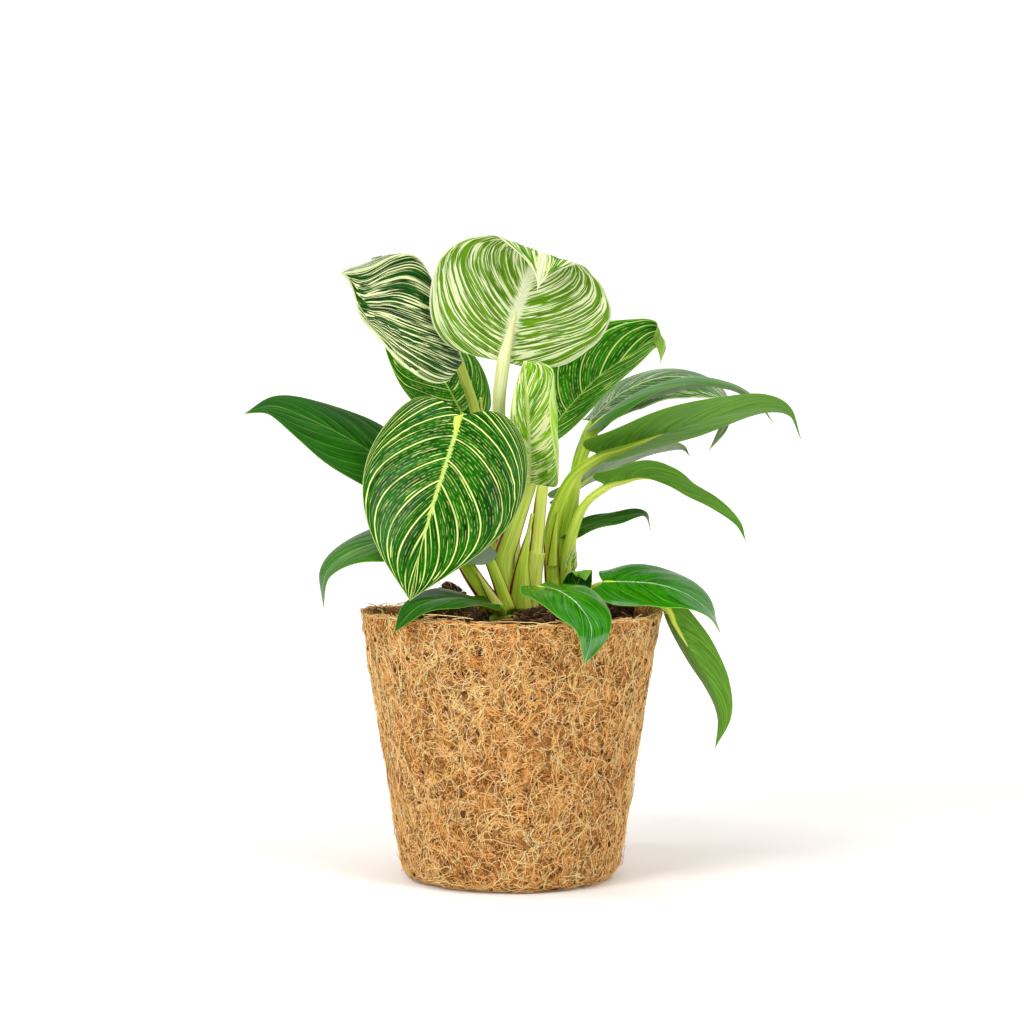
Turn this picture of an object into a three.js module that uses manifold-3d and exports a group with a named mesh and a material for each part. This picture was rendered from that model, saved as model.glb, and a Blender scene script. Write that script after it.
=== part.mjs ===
// A potted philodendron: a coir pot full of soil, four leafy shoots and their heart-shaped leaves.
// Millimetres, +Z up. The origin is the centre of the pot's underside, and the plant's front faces -Y.

import * as THREE from "three";
import { mergeVertices } from "three/addons/utils/BufferGeometryUtils.js";
import Module from "manifold-3d";

const wasm = await Module();
wasm.setup();

// The coir pot: a straight cone with a rounded foot and a slightly uneven rim.
const POT_HEIGHT = 115;
const RIM_RADIUS = 64.7;
const FOOT_RADIUS = 46.5;
const FOOT_ROUND = 9;
const WALL = 3.4;
const FLOOR_THICKNESS = 4;
const RIM_ZONE = 22;
const RIM_EDGE = 0.8;
const RIM_CORNER = { angle: 0.1, width: 0.21, lift: 2.2, flare: 0.9 };
const RIM_WAVES = { two: 0.7, three: 0.5, five: 0.5 };
const POT_SIDES = 48;

// The soil fills the pot and is heaped round the stems and at two places near the back.
const SOIL_EDGE = 109;
const SOIL_SIDES = 36;
const SOIL_RINGS = 6;
const SOIL_RIPPLE = 0.7;
const HEAPS = [
  { at: [10, -2], height: 7, spread: 26 },
  { at: [-27, 24], height: 13, spread: 9 },
  { at: [46, 14], height: 10, spread: 9 },
];

// Pieces that touch keep this gap, and a leaf's blade has this thickness.
const GAP = 0.35;
const BLADE = 0.8;
const RIB = 0.7;
const STEM_SIDES = 8;
const STEM_DEPTH = 14;
const STEM_STEPS = 8;
const TAPER_END = 0.8;
const BASE_SIDES = 24;
const BASE_SHOWS = 1.5;
const HOLE_HEIGHT = 60;

const COLOURS = {
  coir: { color: 0xc08a4e, roughness: 0.95, metalness: 0 },
  soil: { color: 0x3a2a1e, roughness: 1, metalness: 0 },
  stem: { color: 0x9cb83c, roughness: 0.5, metalness: 0 },
  root: { color: 0x6b4a35, roughness: 0.9, metalness: 0 },
  striped: { color: 0x6f9a3e, roughness: 0.4, metalness: 0 },
  dark: { color: 0x1f5c26, roughness: 0.35, metalness: 0 },
};

// Each leaf has its midrib from the petiole's end to the tip, the direction of its right-hand side
// seen from the base with the upper face up (and at the tip, if it turns), its greatest width, how
// far the lobes reach back behind the petiole, and the angles in degrees that the left and right
// halves rise at the midrib (fold) and gain by the margin (cup). A pair of values is for the left
// and the right half: halves are their shares of half the width, widest is how far along the midrib
// they are widest, and taper is how fast they narrow from there. A skewed leaf's sides aren't
// square to its midrib.
const LEAVES = {
  leaf_top_middle: {
    spine: [
      [-3, -8, 223], [1, -9, 240], [6, -10, 254], [10.5, -12, 265], [13, -17.5, 269.5],
      [13.5, -24, 265], [11, -26, 251.5],
    ],
    side: [-0.94, 0, 0.33],
    sideTip: [-0.94, -0.07, 0.33],
    width: 78,
    lobe: [-2, 0],
    widest: [0.44, 0.39],
    taper: [2.3, 2.55],
    fold: [-2, -2],
    cup: [3, 4],
    wave: 0.4,
    colour: "striped",
  },
  leaf_top_left: {
    spine: [
      [-21, 8, 224], [-28.5, 5, 245], [-38, 0, 266], [-47.5, -8, 269],
      [-61, -16, 262.5], [-72.5, -23.5, 260],
    ],
    side: [0.4, 0.8, 0.44],
    sideTip: [0.43, 0.01, 0.9],
    skewed: true,
    width: 85,
    halves: [1, 0.6],
    lobe: [1, 0],
    widest: [0.47, 0.42],
    taper: [1.7, 1.05],
    fold: [9, -90],
    cup: [-16, -13],
    wave: 0.6,
    colour: "striped",
  },
  leaf_back_left: {
    spine: [
      [-22, 20, 202], [-32, 26, 219], [-47, 31, 234], [-55, 33, 247],
    ],
    side: [0.73, 0.53, 0.45],
    width: 40,
    lobe: 6,
    fold: [6, 6],
    cup: [-10, -10],
    colour: "dark",
  },
  leaf_front_left: {
    spine: [
      [-21, -22, 200], [-27, -31, 180], [-33, -38, 161], [-38, -43, 142],
      [-42, -46, 123],
    ],
    side: [-1, 0.1, 0.15],
    width: 71,
    lobe: 6,
    fold: [-2, -2],
    cup: [-22, -22],
    colour: "dark",
  },
  leaf_far_left: {
    spine: [
      [-36, -4, 168], [-52, -4, 179], [-68, -3, 189], [-86, -2, 198],
      [-102, -2, 204], [-115, -3, 201],
    ],
    side: [0.15, 0.8, 0.6],
    width: 42,
    lobe: 1,
    fold: [4, 4],
    cup: [-16, -16],
    colour: "dark",
  },
  leaf_low_left: {
    spine: [
      [-12, -14, 146], [-32, -19, 149], [-52, -22, 147], [-68, -25, 142],
      [-78, -28, 133], [-79, -30, 119],
    ],
    side: [0, 0.87, 0.5],
    sideTip: [-0.3, 0.9, 0.2],
    width: 40,
    lobe: 5,
    fold: [4, 4],
    cup: [-14, -14],
    colour: "dark",
  },
  leaf_rim_left: {
    spine: [
      [-9, -30, 121], [-24, -40, 124], [-38, -50, 121], [-48, -58, 111],
    ],
    side: [-0.55, 0.75, 0.22],
    width: 25,
    lobe: 2,
    fold: [6, 6],
    cup: [-12, -12],
    colour: "dark",
  },
  leaf_rim_front: {
    spine: [
      [12, -28, 128], [20, -41, 127], [28, -54, 122], [33, -66, 113],
      [30, -74, 99],
    ],
    side: [-0.85, -0.4, -0.1],
    width: 28,
    lobe: 2,
    fold: [6, 6],
    cup: [-20, -20],
    colour: "dark",
  },
  leaf_low_right: {
    spine: [
      [40, -14, 129], [51, -16, 129], [63, -18, 128], [75, -22, 124],
      [84, -26, 117], [89, -28, 108],
    ],
    side: [0, -0.9, -0.45],
    width: 35,
    lobe: 3,
    fold: [2, 2],
    cup: [-14, -14],
    colour: "dark",
  },
  leaf_hanging_right: {
    spine: [
      [68, -6, 117], [73, -5, 107], [80, -3, 95], [87, -2, 83], [91, -2, 70],
      [89, -2, 56],
    ],
    side: [0.75, -0.3, 0.6],
    width: 21,
    lobe: 0.5,
    fold: [60, 4],
    cup: [-10, -10],
    colour: "dark",
  },
  leaf_long_right: {
    spine: [
      [38, -2, 184], [57, -5, 190], [75, -8, 196], [92, -10, 201], [109, -12, 204],
      [119, -14, 201], [124, -16, 190],
    ],
    side: [-0.15, -0.95, 0.3],
    width: 50,
    lobe: 4,
    fold: [8, 8],
    cup: [-10, -10],
    colour: "dark",
  },
  leaf_upper_right: {
    spine: [
      [35, 10, 195], [47, 11, 205], [62, 12, 213], [80, 13, 217], [97, 14, 214],
      [108, 14, 207], [115, 13, 197],
    ],
    side: [0, -1, 0.05],
    width: 32,
    lobe: 3,
    fold: [-12, -12],
    cup: [-10, -10],
    colour: "dark",
  },
  leaf_high_right: {
    spine: [
      [36, 43, 198], [50, 47, 210], [68, 50, 217], [84, 50, 216], [96, 47, 208],
      [97, 44, 196], [89, 41, 184],
    ],
    side: [0, -0.93, -0.37],
    width: 42,
    lobe: 0.5,
    fold: [-4, -4],
    cup: [-10, -10],
    colour: "striped",
  },
  leaf_back_right: {
    spine: [
      [18, 20, 194], [29, 23, 207], [39, 25, 217], [52, 27, 226], [63, 28, 233],
      [68, 25, 233], [66, 20, 223],
    ],
    side: [0.7, -0.1, -0.7],
    width: 52,
    halves: [1, 0.6],
    lobe: 6,
    taper: 1.5,
    fold: [4, 58],
    cup: [-8, -5],
    colour: "dark",
  },
  leaf_unrolling: {
    spine: [
      [8, -7, 171], [8, -9, 188], [7, -11, 206], [5.5, -12, 223.5],
    ],
    side: [1, 0.1, 0],
    width: 52,
    halves: [0.36, 1],
    lobe: 1,
    widest: [0.45, 0.62],
    taper: [1.2, 0.6],
    fold: [20, -8],
    cup: [12, 150],
    wave: 0.5,
    colour: "striped",
  },
  leaf_middle_right: {
    spine: [
      [41, -8, 171], [56, -10, 174], [67, -12, 171], [76, -14, 166],
      [86, -17, 161], [96, -20, 154], [100, -22, 147],
    ],
    side: [0, -1, 0.1],
    width: 34,
    lobe: 4,
    fold: [30, 24],
    cup: [-10, -10],
    colour: "dark",
  },
  leaf_small_right: {
    spine: [
      [24, 8, 148], [36, 6, 153], [48, 4, 156], [58, 2, 157], [61, 0, 150],
    ],
    side: [0, -0.9, -0.3],
    width: 18,
    lobe: 2,
    fold: [6, 6],
    cup: [-10, -10],
    colour: "dark",
  },
  leaf_behind_right: {
    spine: [
      [21, 28, 164], [40, 30, 176], [58, 32, 184], [75, 33, 186], [80, 32, 182],
    ],
    side: [0.1, -0.9, 0.35],
    width: 34,
    lobe: 4,
    fold: [6, 6],
    cup: [-10, -10],
    colour: "dark",
  },
  leaf_young_dark: {
    spine: [
      [27, -13, 122], [29, -15, 129], [31, -19, 134], [32, -23, 130],
    ],
    side: [0.9, -0.3, 0.2],
    width: 13,
    lobe: 1,
    fold: [10, 10],
    cup: [20, 20],
    colour: "dark",
  },
  leaf_young_light: {
    spine: [
      [25, 3, 132], [26, 1, 138], [28, -1, 144],
    ],
    side: [0.9, 0.3, 0],
    width: 7,
    lobe: 0.5,
    fold: [30, 30],
    cup: [20, 20],
    colour: "striped",
  },
};

// Each shoot stands on a round stem base. Its petioles run from there to their leaves, and its
// sheaths are the pointed scales that wrapped them when they were young.
const SHOOTS = {
  shoot_middle: {
    base: [4, 4],
    radius: 9,
    petioles: [
      {
        leaf: "leaf_top_middle",
        path: [[1, 7, 118], [-1, 5, 160], [-5, -4, 199]],
        radii: [5, 2.9],
      },
      {
        leaf: "leaf_top_left",
        path: [[-1, 8, 118], [-8, 9, 160], [-15, 11, 200]],
        radii: [5, 2.3],
      },
      {
        leaf: "leaf_back_left",
        path: [[1, 10, 118], [-6, 15, 155], [-17, 17, 190]],
        radii: [4.5, 2],
      },
      {
        leaf: "leaf_front_left",
        path: [[-2, 3, 118], [-3, 4, 150], [-12, -10, 183]],
        radii: [5, 2.2],
      },
      {
        leaf: "leaf_back_right",
        path: [[8, 0, 118], [11, 0, 141], [13, 4, 162], [16, 13, 181]],
        radii: [3.6, 2.2],
      },
      {
        leaf: "leaf_unrolling",
        path: [[0, -1, 118], [-3, -1, 136], [1, -3, 151]],
        radii: [5, 4],
      },
    ],
    sheaths: [
      { path: [[4, -2, 117], [5, -5, 135], [9.5, -6, 158]], radii: [6, 0.8] },
      { path: [[-11, 11, 185], [-12, 10, 197], [-13, 8, 208]], radii: [2, 0.6] },
      { path: [[8, 0, 117], [9.5, 0, 129], [11, 0, 141]], radii: [4.8, 4.1] },
    ],
  },
  shoot_right: {
    base: [24, 13],
    radius: 7.5,
    petioles: [
      {
        leaf: "leaf_long_right",
        path: [[19, 9, 118], [18, 4, 150], [26, 0, 172]],
        radii: [4, 2.5],
      },
      {
        leaf: "leaf_upper_right",
        path: [[21, 12, 118], [23, 10, 150], [30, 9, 178]],
        radii: [4, 2.4],
      },
      {
        leaf: "leaf_high_right",
        path: [[24, 17, 118], [26, 13, 150], [29, 15, 177], [33, 31, 190]],
        radii: [4, 2],
      },
      {
        leaf: "leaf_middle_right",
        path: [[25, 9, 118], [25, 2, 140], [31, -5, 160]],
        radii: [3.5, 1.8],
      },
      {
        leaf: "leaf_small_right",
        path: [[27, 11, 118], [26, 10, 138]],
        radii: [3, 1.6],
      },
      {
        leaf: "leaf_behind_right",
        path: [[23, 17, 118], [20, 26, 145]],
        radii: [3.5, 2],
      },
      {
        leaf: "leaf_young_light",
        path: [[26, 9, 118], [25, 5, 126]],
        radii: [2.5, 1.5],
      },
    ],
    sheaths: [{ path: [[18, 4, 135], [19, 1, 148], [20.5, -1, 158]], radii: [2.6, 0.7] }],
  },
  shoot_low_right: {
    base: [31, -9],
    radius: 5.5,
    petioles: [
      {
        leaf: "leaf_low_right",
        path: [[32, -10, 116], [35, -12, 125]],
        radii: [2.8, 1.9],
      },
      {
        leaf: "leaf_hanging_right",
        path: [[33, -8, 116], [43, -7, 122], [58, -6, 122]],
        radii: [2.6, 1.5],
      },
      {
        leaf: "leaf_rim_front",
        path: [[29, -12, 116], [20, -21, 122]],
        radii: [2.8, 1.7],
      },
      {
        leaf: "leaf_young_dark",
        path: [[30, -11, 115], [28, -12, 118]],
        radii: [2.6, 1.6],
      },
    ],
    sheaths: [],
  },
  shoot_left: {
    base: [-3, -14],
    radius: 6.5,
    petioles: [
      {
        leaf: "leaf_far_left",
        path: [[-6, -15, 117], [-18, -11, 134], [-29, -1, 155]],
        radii: [4.5, 2.3],
      },
      {
        leaf: "leaf_low_left",
        path: [[-1, -15, 117], [-7, -15, 134]],
        radii: [3.6, 2.3],
      },
      {
        leaf: "leaf_rim_left",
        path: [[-4, -18, 116], [-6, -25, 119]],
        radii: [2.6, 1.6],
      },
    ],
    sheaths: [{ path: [[-5, -17, 118], [-10, -17, 126], [-14, -16, 133]], radii: [3, 0.8] }],
  },
};

// A brown root leaves the foot of the stems and lies on the soil.
const AERIAL_ROOT = { path: [[-5, -24], [0, -25], [6, -23], [11, -19], [13, -13]], radius: 0.9 };

const degrees = THREE.MathUtils.degToRad;

function curveThrough(points) {
  const vectors = points.map((point) => new THREE.Vector3(...point));
  return new THREE.CatmullRomCurve3(vectors, false, "catmullrom", 0.5);
}

function geometryFrom(vertices, faces) {
  const geometry = new THREE.BufferGeometry();
  const numbers = vertices.flatMap((v) => v.toArray());
  geometry.setAttribute("position", new THREE.Float32BufferAttribute(numbers, 3));
  geometry.setIndex(faces.flat());
  return geometry;
}

function toSolid(geometry) {
  const bare = geometry.clone();
  bare.deleteAttribute("normal");
  bare.deleteAttribute("uv");
  const merged = mergeVertices(bare, 1e-4);
  return new wasm.Manifold(
    new wasm.Mesh({
      numProp: 3,
      vertProperties: new Float32Array(merged.attributes.position.array),
      triVerts: new Uint32Array(merged.index.array),
    })
  );
}

function toGeometry(solid) {
  const mesh = solid.getMesh();
  const geometry = new THREE.BufferGeometry();
  geometry.setAttribute("position", new THREE.Float32BufferAttribute(mesh.vertProperties, 3));
  geometry.setIndex(Array.from(mesh.triVerts));
  return geometry;
}

function largestBody(solid) {
  const bodies = solid.decompose();
  return bodies.reduce((best, body) => (body.volume() > best.volume() ? body : best));
}

// The pot

function wallRadius(z) {
  return FOOT_RADIUS + ((RIM_RADIUS - FOOT_RADIUS) * z) / POT_HEIGHT;
}

// How far the rim rises and leans out at an angle round the pot, with its pinched corner.
function rimCorner(angle) {
  return Math.exp(-(((angle - RIM_CORNER.angle) / RIM_CORNER.width) ** 2));
}

function rimLift(angle) {
  const waves = RIM_WAVES.two * Math.sin(2 * angle + 0.4) + RIM_WAVES.five * Math.sin(5 * angle);
  return waves + RIM_CORNER.lift * rimCorner(angle);
}

function rimFlare(angle) {
  return RIM_WAVES.three * Math.sin(3 * angle + 1) + RIM_CORNER.flare * rimCorner(angle);
}

function unevenRim(geometry) {
  const position = geometry.attributes.position;
  for (let i = 0; i < position.count; i += 1) {
    const x = position.getX(i);
    const y = position.getY(i);
    const z = position.getZ(i);
    const angle = Math.atan2(y, x);
    const share = Math.max(0, (z - (POT_HEIGHT - RIM_ZONE)) / RIM_ZONE);
    const radius = Math.hypot(x, y);
    const grown = radius > 1 ? (radius + rimFlare(angle) * share ** 2) / radius : 1;
    position.setXYZ(i, x * grown, y * grown, z + rimLift(angle) * share ** 2);
  }
  return geometry;
}

// The profile of the foot's rounded edge, moved inwards by an inset.
function roundedFoot(inset, steps) {
  const slope = Math.atan2(RIM_RADIUS - FOOT_RADIUS, POT_HEIGHT);
  const round = FOOT_ROUND - inset;
  const edge = wallRadius(0) + FOOT_ROUND * Math.tan(slope) - FOOT_ROUND / Math.cos(slope);
  const points = [];
  for (let i = 0; i <= steps; i += 1) {
    const turn = -Math.PI / 2 + (i / steps) * (Math.PI / 2 - slope);
    const z = inset + round * (1 + Math.sin(turn));
    points.push(new THREE.Vector2(edge + round * Math.cos(turn), z));
  }
  return points;
}

function potGeometry() {
  const heights = [50, POT_HEIGHT - RIM_ZONE, 106, POT_HEIGHT - RIM_EDGE];
  const profile = [new THREE.Vector2(0, 0), ...roundedFoot(0, 4)];
  heights.forEach((z) => profile.push(new THREE.Vector2(wallRadius(z), z)));
  profile.push(new THREE.Vector2(wallRadius(POT_HEIGHT) - RIM_EDGE, POT_HEIGHT));
  profile.push(new THREE.Vector2(wallRadius(POT_HEIGHT) - WALL + RIM_EDGE, POT_HEIGHT));
  heights.reverse().forEach((z) => profile.push(new THREE.Vector2(wallRadius(z) - WALL, z)));
  roundedFoot(FLOOR_THICKNESS, 2)
    .reverse()
    .forEach((point) => profile.push(point));
  profile.push(new THREE.Vector2(0, FLOOR_THICKNESS));
  const lathe = new THREE.LatheGeometry(profile, POT_SIDES);
  lathe.rotateX(Math.PI / 2);
  return unevenRim(toGeometry(toSolid(lathe)));
}

// The soil

function soilHeight(x, y) {
  let height = SOIL_EDGE;
  HEAPS.forEach((heap) => {
    const away = Math.hypot(x - heap.at[0], y - heap.at[1]) / heap.spread;
    height += heap.height * Math.exp(-(away ** 2));
  });
  return height + SOIL_RIPPLE * Math.sin(0.31 * x + 1) * Math.sin(0.27 * y);
}

function soilGeometry() {
  const inside = WALL + GAP;
  const rings = [[0, FLOOR_THICKNESS + GAP]];
  roundedFoot(FLOOR_THICKNESS + GAP, 2).forEach((point) => rings.push([point.x, point.y]));
  rings.push([wallRadius(POT_HEIGHT - RIM_ZONE) - inside, POT_HEIGHT - RIM_ZONE]);
  const edge = wallRadius(SOIL_EDGE) - inside - RIM_WAVES.three;
  const vertices = [new THREE.Vector3(0, 0, rings[0][1])];
  const faces = [];
  const addRing = (place) => {
    for (let k = 0; k < SOIL_SIDES; k += 1) {
      vertices.push(place((2 * Math.PI * k) / SOIL_SIDES));
    }
  };
  rings.slice(1).forEach(([radius, z]) => {
    addRing((turn) => new THREE.Vector3(radius * Math.cos(turn), radius * Math.sin(turn), z));
  });
  for (let ring = SOIL_RINGS; ring > 0; ring -= 1) {
    const radius = (edge * ring) / SOIL_RINGS;
    addRing((turn) => {
      const x = radius * Math.cos(turn);
      const y = radius * Math.sin(turn);
      return new THREE.Vector3(x, y, soilHeight(x, y));
    });
  }
  const last = vertices.length;
  vertices.push(new THREE.Vector3(0, 0, soilHeight(0, 0)));
  const ringCount = (last - 1) / SOIL_SIDES;
  for (let k = 0; k < SOIL_SIDES; k += 1) {
    const next = (k + 1) % SOIL_SIDES;
    faces.push([0, 1 + next, 1 + k]);
    for (let ring = 0; ring < ringCount - 1; ring += 1) {
      const low = 1 + ring * SOIL_SIDES;
      const high = low + SOIL_SIDES;
      faces.push([low + k, low + next, high + next], [low + k, high + next, high + k]);
    }
    const top = last - SOIL_SIDES;
    faces.push([top + k, top + next, last]);
  }
  let solid = toSolid(geometryFrom(vertices, faces));
  Object.values(SHOOTS).forEach((shoot) => {
    const depth = soilHeight(...shoot.base) - STEM_DEPTH;
    const radius = shoot.radius + GAP;
    const hole = new THREE.CylinderGeometry(radius, radius, HOLE_HEIGHT, BASE_SIDES);
    hole.rotateX(Math.PI / 2);
    hole.translate(shoot.base[0], shoot.base[1], depth - GAP + HOLE_HEIGHT / 2);
    solid = solid.subtract(toSolid(hole));
  });
  return toGeometry(solid);
}

// The leaf blades

const SPLITS = [
  { above: 60, rows: 12, columns: 5 },
  { above: 40, rows: 10, columns: 4 },
  { above: 20, rows: 8, columns: 3 },
  { above: 0, rows: 6, columns: 2 },
];
const WIDEST = 0.3;
const LOBE_PLACE = 0.43;
const LOBE_SHARE = 0.4;
const TAPER = 1.15;
const TIP_BEND = 2.1;
const VEIN_SWEEP = { forward: 0.25, out: 0.6 };
const MARGIN_WAVES = { count: 2.6, left: 2.2, right: 0.5 };

// A value that is given once for both halves, or as a pair for the left and the right half.
function ofHalf(value, hand) {
  if (!Array.isArray(value)) {
    return value;
  }
  return hand < 0 ? value[0] : value[1];
}

// The margin from the back of the lobe (0) past the widest place to the tip (1), on the flat blade.
function marginPoint(share, length, half, leaf, hand) {
  const widest = ofHalf(leaf.widest ?? WIDEST, hand) * length;
  const lobe = ofHalf(leaf.lobe, hand);
  if (share <= LOBE_SHARE) {
    const turn = ((share / LOBE_SHARE) * Math.PI) / 2;
    const along = widest - (widest + lobe) * Math.cos(turn);
    return [along, half * (LOBE_PLACE + (1 - LOBE_PLACE) * Math.sin(turn))];
  }
  const reach = ((share - LOBE_SHARE) / (1 - LOBE_SHARE)) ** 0.9;
  const along = widest + (length - widest) * reach;
  return [along, half * (1 - reach ** TIP_BEND) ** ofHalf(leaf.taper ?? TAPER, hand)];
}

// A vein's point on the flat blade: it leaves the midrib sideways and sweeps on to the margin.
function veinPoint(row, across, length, half, leaf, hand) {
  if (row === 0) {
    const back = ofHalf(leaf.lobe, hand) * Math.sin((across * Math.PI) / 2);
    return [-back, half * LOBE_PLACE * across];
  }
  const [along, out] = marginPoint(row, length, half, leaf, hand);
  const start = length * row ** TIP_BEND;
  const bend = [start + VEIN_SWEEP.forward * (along - start), VEIN_SWEEP.out * out];
  const first = (1 - across) ** 2;
  const second = 2 * across * (1 - across);
  const third = across ** 2;
  return [first * start + second * bend[0] + third * along, second * bend[1] + third * out];
}

function bladePlacer(leaf) {
  const spine = curveThrough(leaf.spine);
  const length = spine.getLength();
  const sideBase = new THREE.Vector3(...leaf.side);
  const sideTip = new THREE.Vector3(...(leaf.sideTip ?? leaf.side));
  const place = (along, out, hand, half, wave) => {
    const share = THREE.MathUtils.clamp(along / length, 0, 1);
    const forward = spine.getTangentAt(share);
    const point = spine.getPointAt(share);
    point.addScaledVector(forward, along - share * length);
    const side = sideBase.clone().lerp(sideTip, share);
    if (!leaf.skewed) {
      side.addScaledVector(forward, -side.dot(forward));
    }
    side.normalize();
    const up = side.clone().cross(forward).normalize();
    const rise = degrees(ofHalf(leaf.fold, hand));
    const curl = degrees(ofHalf(leaf.cup, hand)) / half;
    const reach = (Math.sin(rise + curl * out) - Math.sin(rise)) / curl;
    const lift = (Math.cos(rise) - Math.cos(rise + curl * out)) / curl;
    point.addScaledVector(side, hand * reach);
    point.addScaledVector(up, lift + wave);
    return point;
  };
  return { place, length };
}

function bladeGeometry(leaf, grow = 0) {
  const { rows, columns } = SPLITS.find((split) => leaf.width > split.above);
  const { place, length } = bladePlacer(leaf);
  const vertices = [];
  const ribs = [];
  const add = (point) => vertices.push(point) - 1;
  const grid = { "-1": [], 1: [] };
  for (let row = 0; row < rows; row += 1) {
    const share = row / rows;
    const back = row === 0 ? grow : 0;
    const middle = add(place(length * share ** TIP_BEND - back, 0, 1, 1, 0));
    ribs[middle] = 1 - share;
    [-1, 1].forEach((hand) => {
      const half = (leaf.width / 2) * ofHalf(leaf.halves ?? 1, hand);
      const line = [middle];
      for (let column = 1; column <= columns; column += 1) {
        const across = column / columns;
        const [along, out] = veinPoint(share, across, length, half, leaf, hand);
        const phase = hand > 0 ? MARGIN_WAVES.right : MARGIN_WAVES.left;
        const swing = Math.sin(2 * Math.PI * MARGIN_WAVES.count * share + phase);
        const wave = (leaf.wave ?? 1) * swing * across ** 2 * (1 - share);
        line.push(add(place(along - back, out * (1 + grow / half), hand, half, wave)));
      }
      grid[hand].push(line);
    });
  }
  const tip = add(place(length + grow, 0, 1, 1, 0));
  const faces = [];
  [-1, 1].forEach((hand) => {
    const put = (a, b, c) => faces.push(hand > 0 ? [a, b, c] : [a, c, b]);
    for (let row = 0; row < rows; row += 1) {
      for (let column = 0; column < columns; column += 1) {
        const a = grid[hand][row][column];
        const b = grid[hand][row][column + 1];
        if (row === rows - 1) {
          put(a, b, tip);
        } else {
          const c = grid[hand][row + 1][column];
          const d = grid[hand][row + 1][column + 1];
          put(a, b, d);
          put(a, d, c);
        }
      }
    }
  });
  const edge = [
    ...grid[1][0],
    ...grid[1].slice(1).map((line) => line[columns]),
    tip,
    ...grid[-1].slice(1).map((line) => line[columns]).reverse(),
    ...grid[-1][0].slice(1).reverse(),
  ];
  return thickened(vertices, faces, edge, BLADE / 2 + grow, ribs);
}

// Gives a sheet its thickness. Both faces are split into the same triangles.
function thickened(vertices, faces, edge, half, ribs) {
  const normals = vertices.map(() => new THREE.Vector3());
  faces.forEach(([a, b, c]) => {
    const first = vertices[b].clone().sub(vertices[a]);
    const normal = first.cross(vertices[c].clone().sub(vertices[a]));
    [a, b, c].forEach((corner) => normals[corner].add(normal));
  });
  normals.forEach((normal) => normal.normalize());
  const count = vertices.length;
  const upper = vertices.map((v, i) => v.clone().addScaledVector(normals[i], half));
  const lower = vertices.map((v, i) => {
    const depth = half + RIB * (ribs[i] ?? 0);
    return v.clone().addScaledVector(normals[i], -depth);
  });
  const all = [];
  faces.forEach(([a, b, c]) => all.push([a, b, c], [a + count, c + count, b + count]));
  edge.forEach((from, i) => {
    const to = edge[(i + 1) % edge.length];
    all.push([from + count, to + count, to], [from + count, to, from]);
  });
  return geometryFrom([...upper, ...lower], all);
}

// The shoots

// A closed tube along a curve. It reaches its end radius before its end.
function taperedTube(points, startRadius, endRadius, sides = STEM_SIDES, steps = STEM_STEPS) {
  const curve = curveThrough(points);
  const frames = curve.computeFrenetFrames(steps, false);
  const vertices = [];
  const faces = [];
  for (let step = 0; step <= steps; step += 1) {
    const share = step / steps;
    const centre = curve.getPointAt(share);
    const radius = startRadius + (endRadius - startRadius) * Math.min(1, share / TAPER_END);
    for (let k = 0; k < sides; k += 1) {
      const turn = (2 * Math.PI * k) / sides;
      const spoke = centre.clone();
      spoke.addScaledVector(frames.normals[step], radius * Math.cos(turn));
      spoke.addScaledVector(frames.binormals[step], radius * Math.sin(turn));
      vertices.push(spoke);
    }
  }
  for (let step = 0; step < steps; step += 1) {
    for (let k = 0; k < sides; k += 1) {
      const next = (k + 1) % sides;
      const low = step * sides;
      const high = low + sides;
      faces.push([low + k, low + next, high + next], [low + k, high + next, high + k]);
    }
  }
  const start = vertices.length;
  vertices.push(curve.getPointAt(0), curve.getPointAt(1));
  const top = steps * sides;
  for (let k = 0; k < sides; k += 1) {
    const next = (k + 1) % sides;
    faces.push([start, next, k], [start + 1, top + k, top + next]);
  }
  return geometryFrom(vertices, faces);
}

function shootGeometry(shoot) {
  const ground = soilHeight(...shoot.base);
  const height = STEM_DEPTH + BASE_SHOWS;
  const foot = new THREE.CylinderGeometry(shoot.radius - 0.6, shoot.radius, height, BASE_SIDES);
  foot.rotateX(Math.PI / 2);
  foot.translate(shoot.base[0], shoot.base[1], ground + BASE_SHOWS - height / 2);
  let solid = toSolid(foot);
  shoot.petioles.forEach((petiole) => {
    const end = LEAVES[petiole.leaf].spine[0];
    const tube = taperedTube([...petiole.path, end], ...petiole.radii);
    solid = solid.add(toSolid(tube));
  });
  shoot.sheaths.forEach((sheath) => {
    solid = solid.add(toSolid(taperedTube(sheath.path, ...sheath.radii)));
  });
  shoot.petioles.forEach((petiole) => {
    solid = solid.subtract(toSolid(bladeGeometry(LEAVES[petiole.leaf], GAP)));
  });
  return toGeometry(largestBody(solid));
}

function rootGeometry() {
  const lift = AERIAL_ROOT.radius + 2 * GAP;
  const path = AERIAL_ROOT.path.map(([x, y]) => [x, y, soilHeight(x, y) + lift]);
  return taperedTube(path, AERIAL_ROOT.radius, AERIAL_ROOT.radius * 0.6);
}

// Everything together

const plant = new THREE.Group();

function addPiece(name, geometry, finish) {
  const mesh = new THREE.Mesh(geometry, new THREE.MeshStandardMaterial(COLOURS[finish]));
  mesh.name = name;
  plant.add(mesh);
}

addPiece("pot", potGeometry(), "coir");
addPiece("soil", soilGeometry(), "soil");
Object.entries(SHOOTS).forEach(([name, shoot]) => addPiece(name, shootGeometry(shoot), "stem"));
addPiece("aerial_root", rootGeometry(), "root");
Object.entries(LEAVES).forEach(([name, leaf]) => addPiece(name, bladeGeometry(leaf), leaf.colour));

export default plant;
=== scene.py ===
"""The looks of a potted philodendron: striped waxy leaves, pale stems, loose soil and a coir pot.

Sizes and places are in millimetres, as in the part's source, and become metres when a mesh is made.
"""

import math

import bpy
import numpy as np
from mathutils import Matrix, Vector, noise


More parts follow.
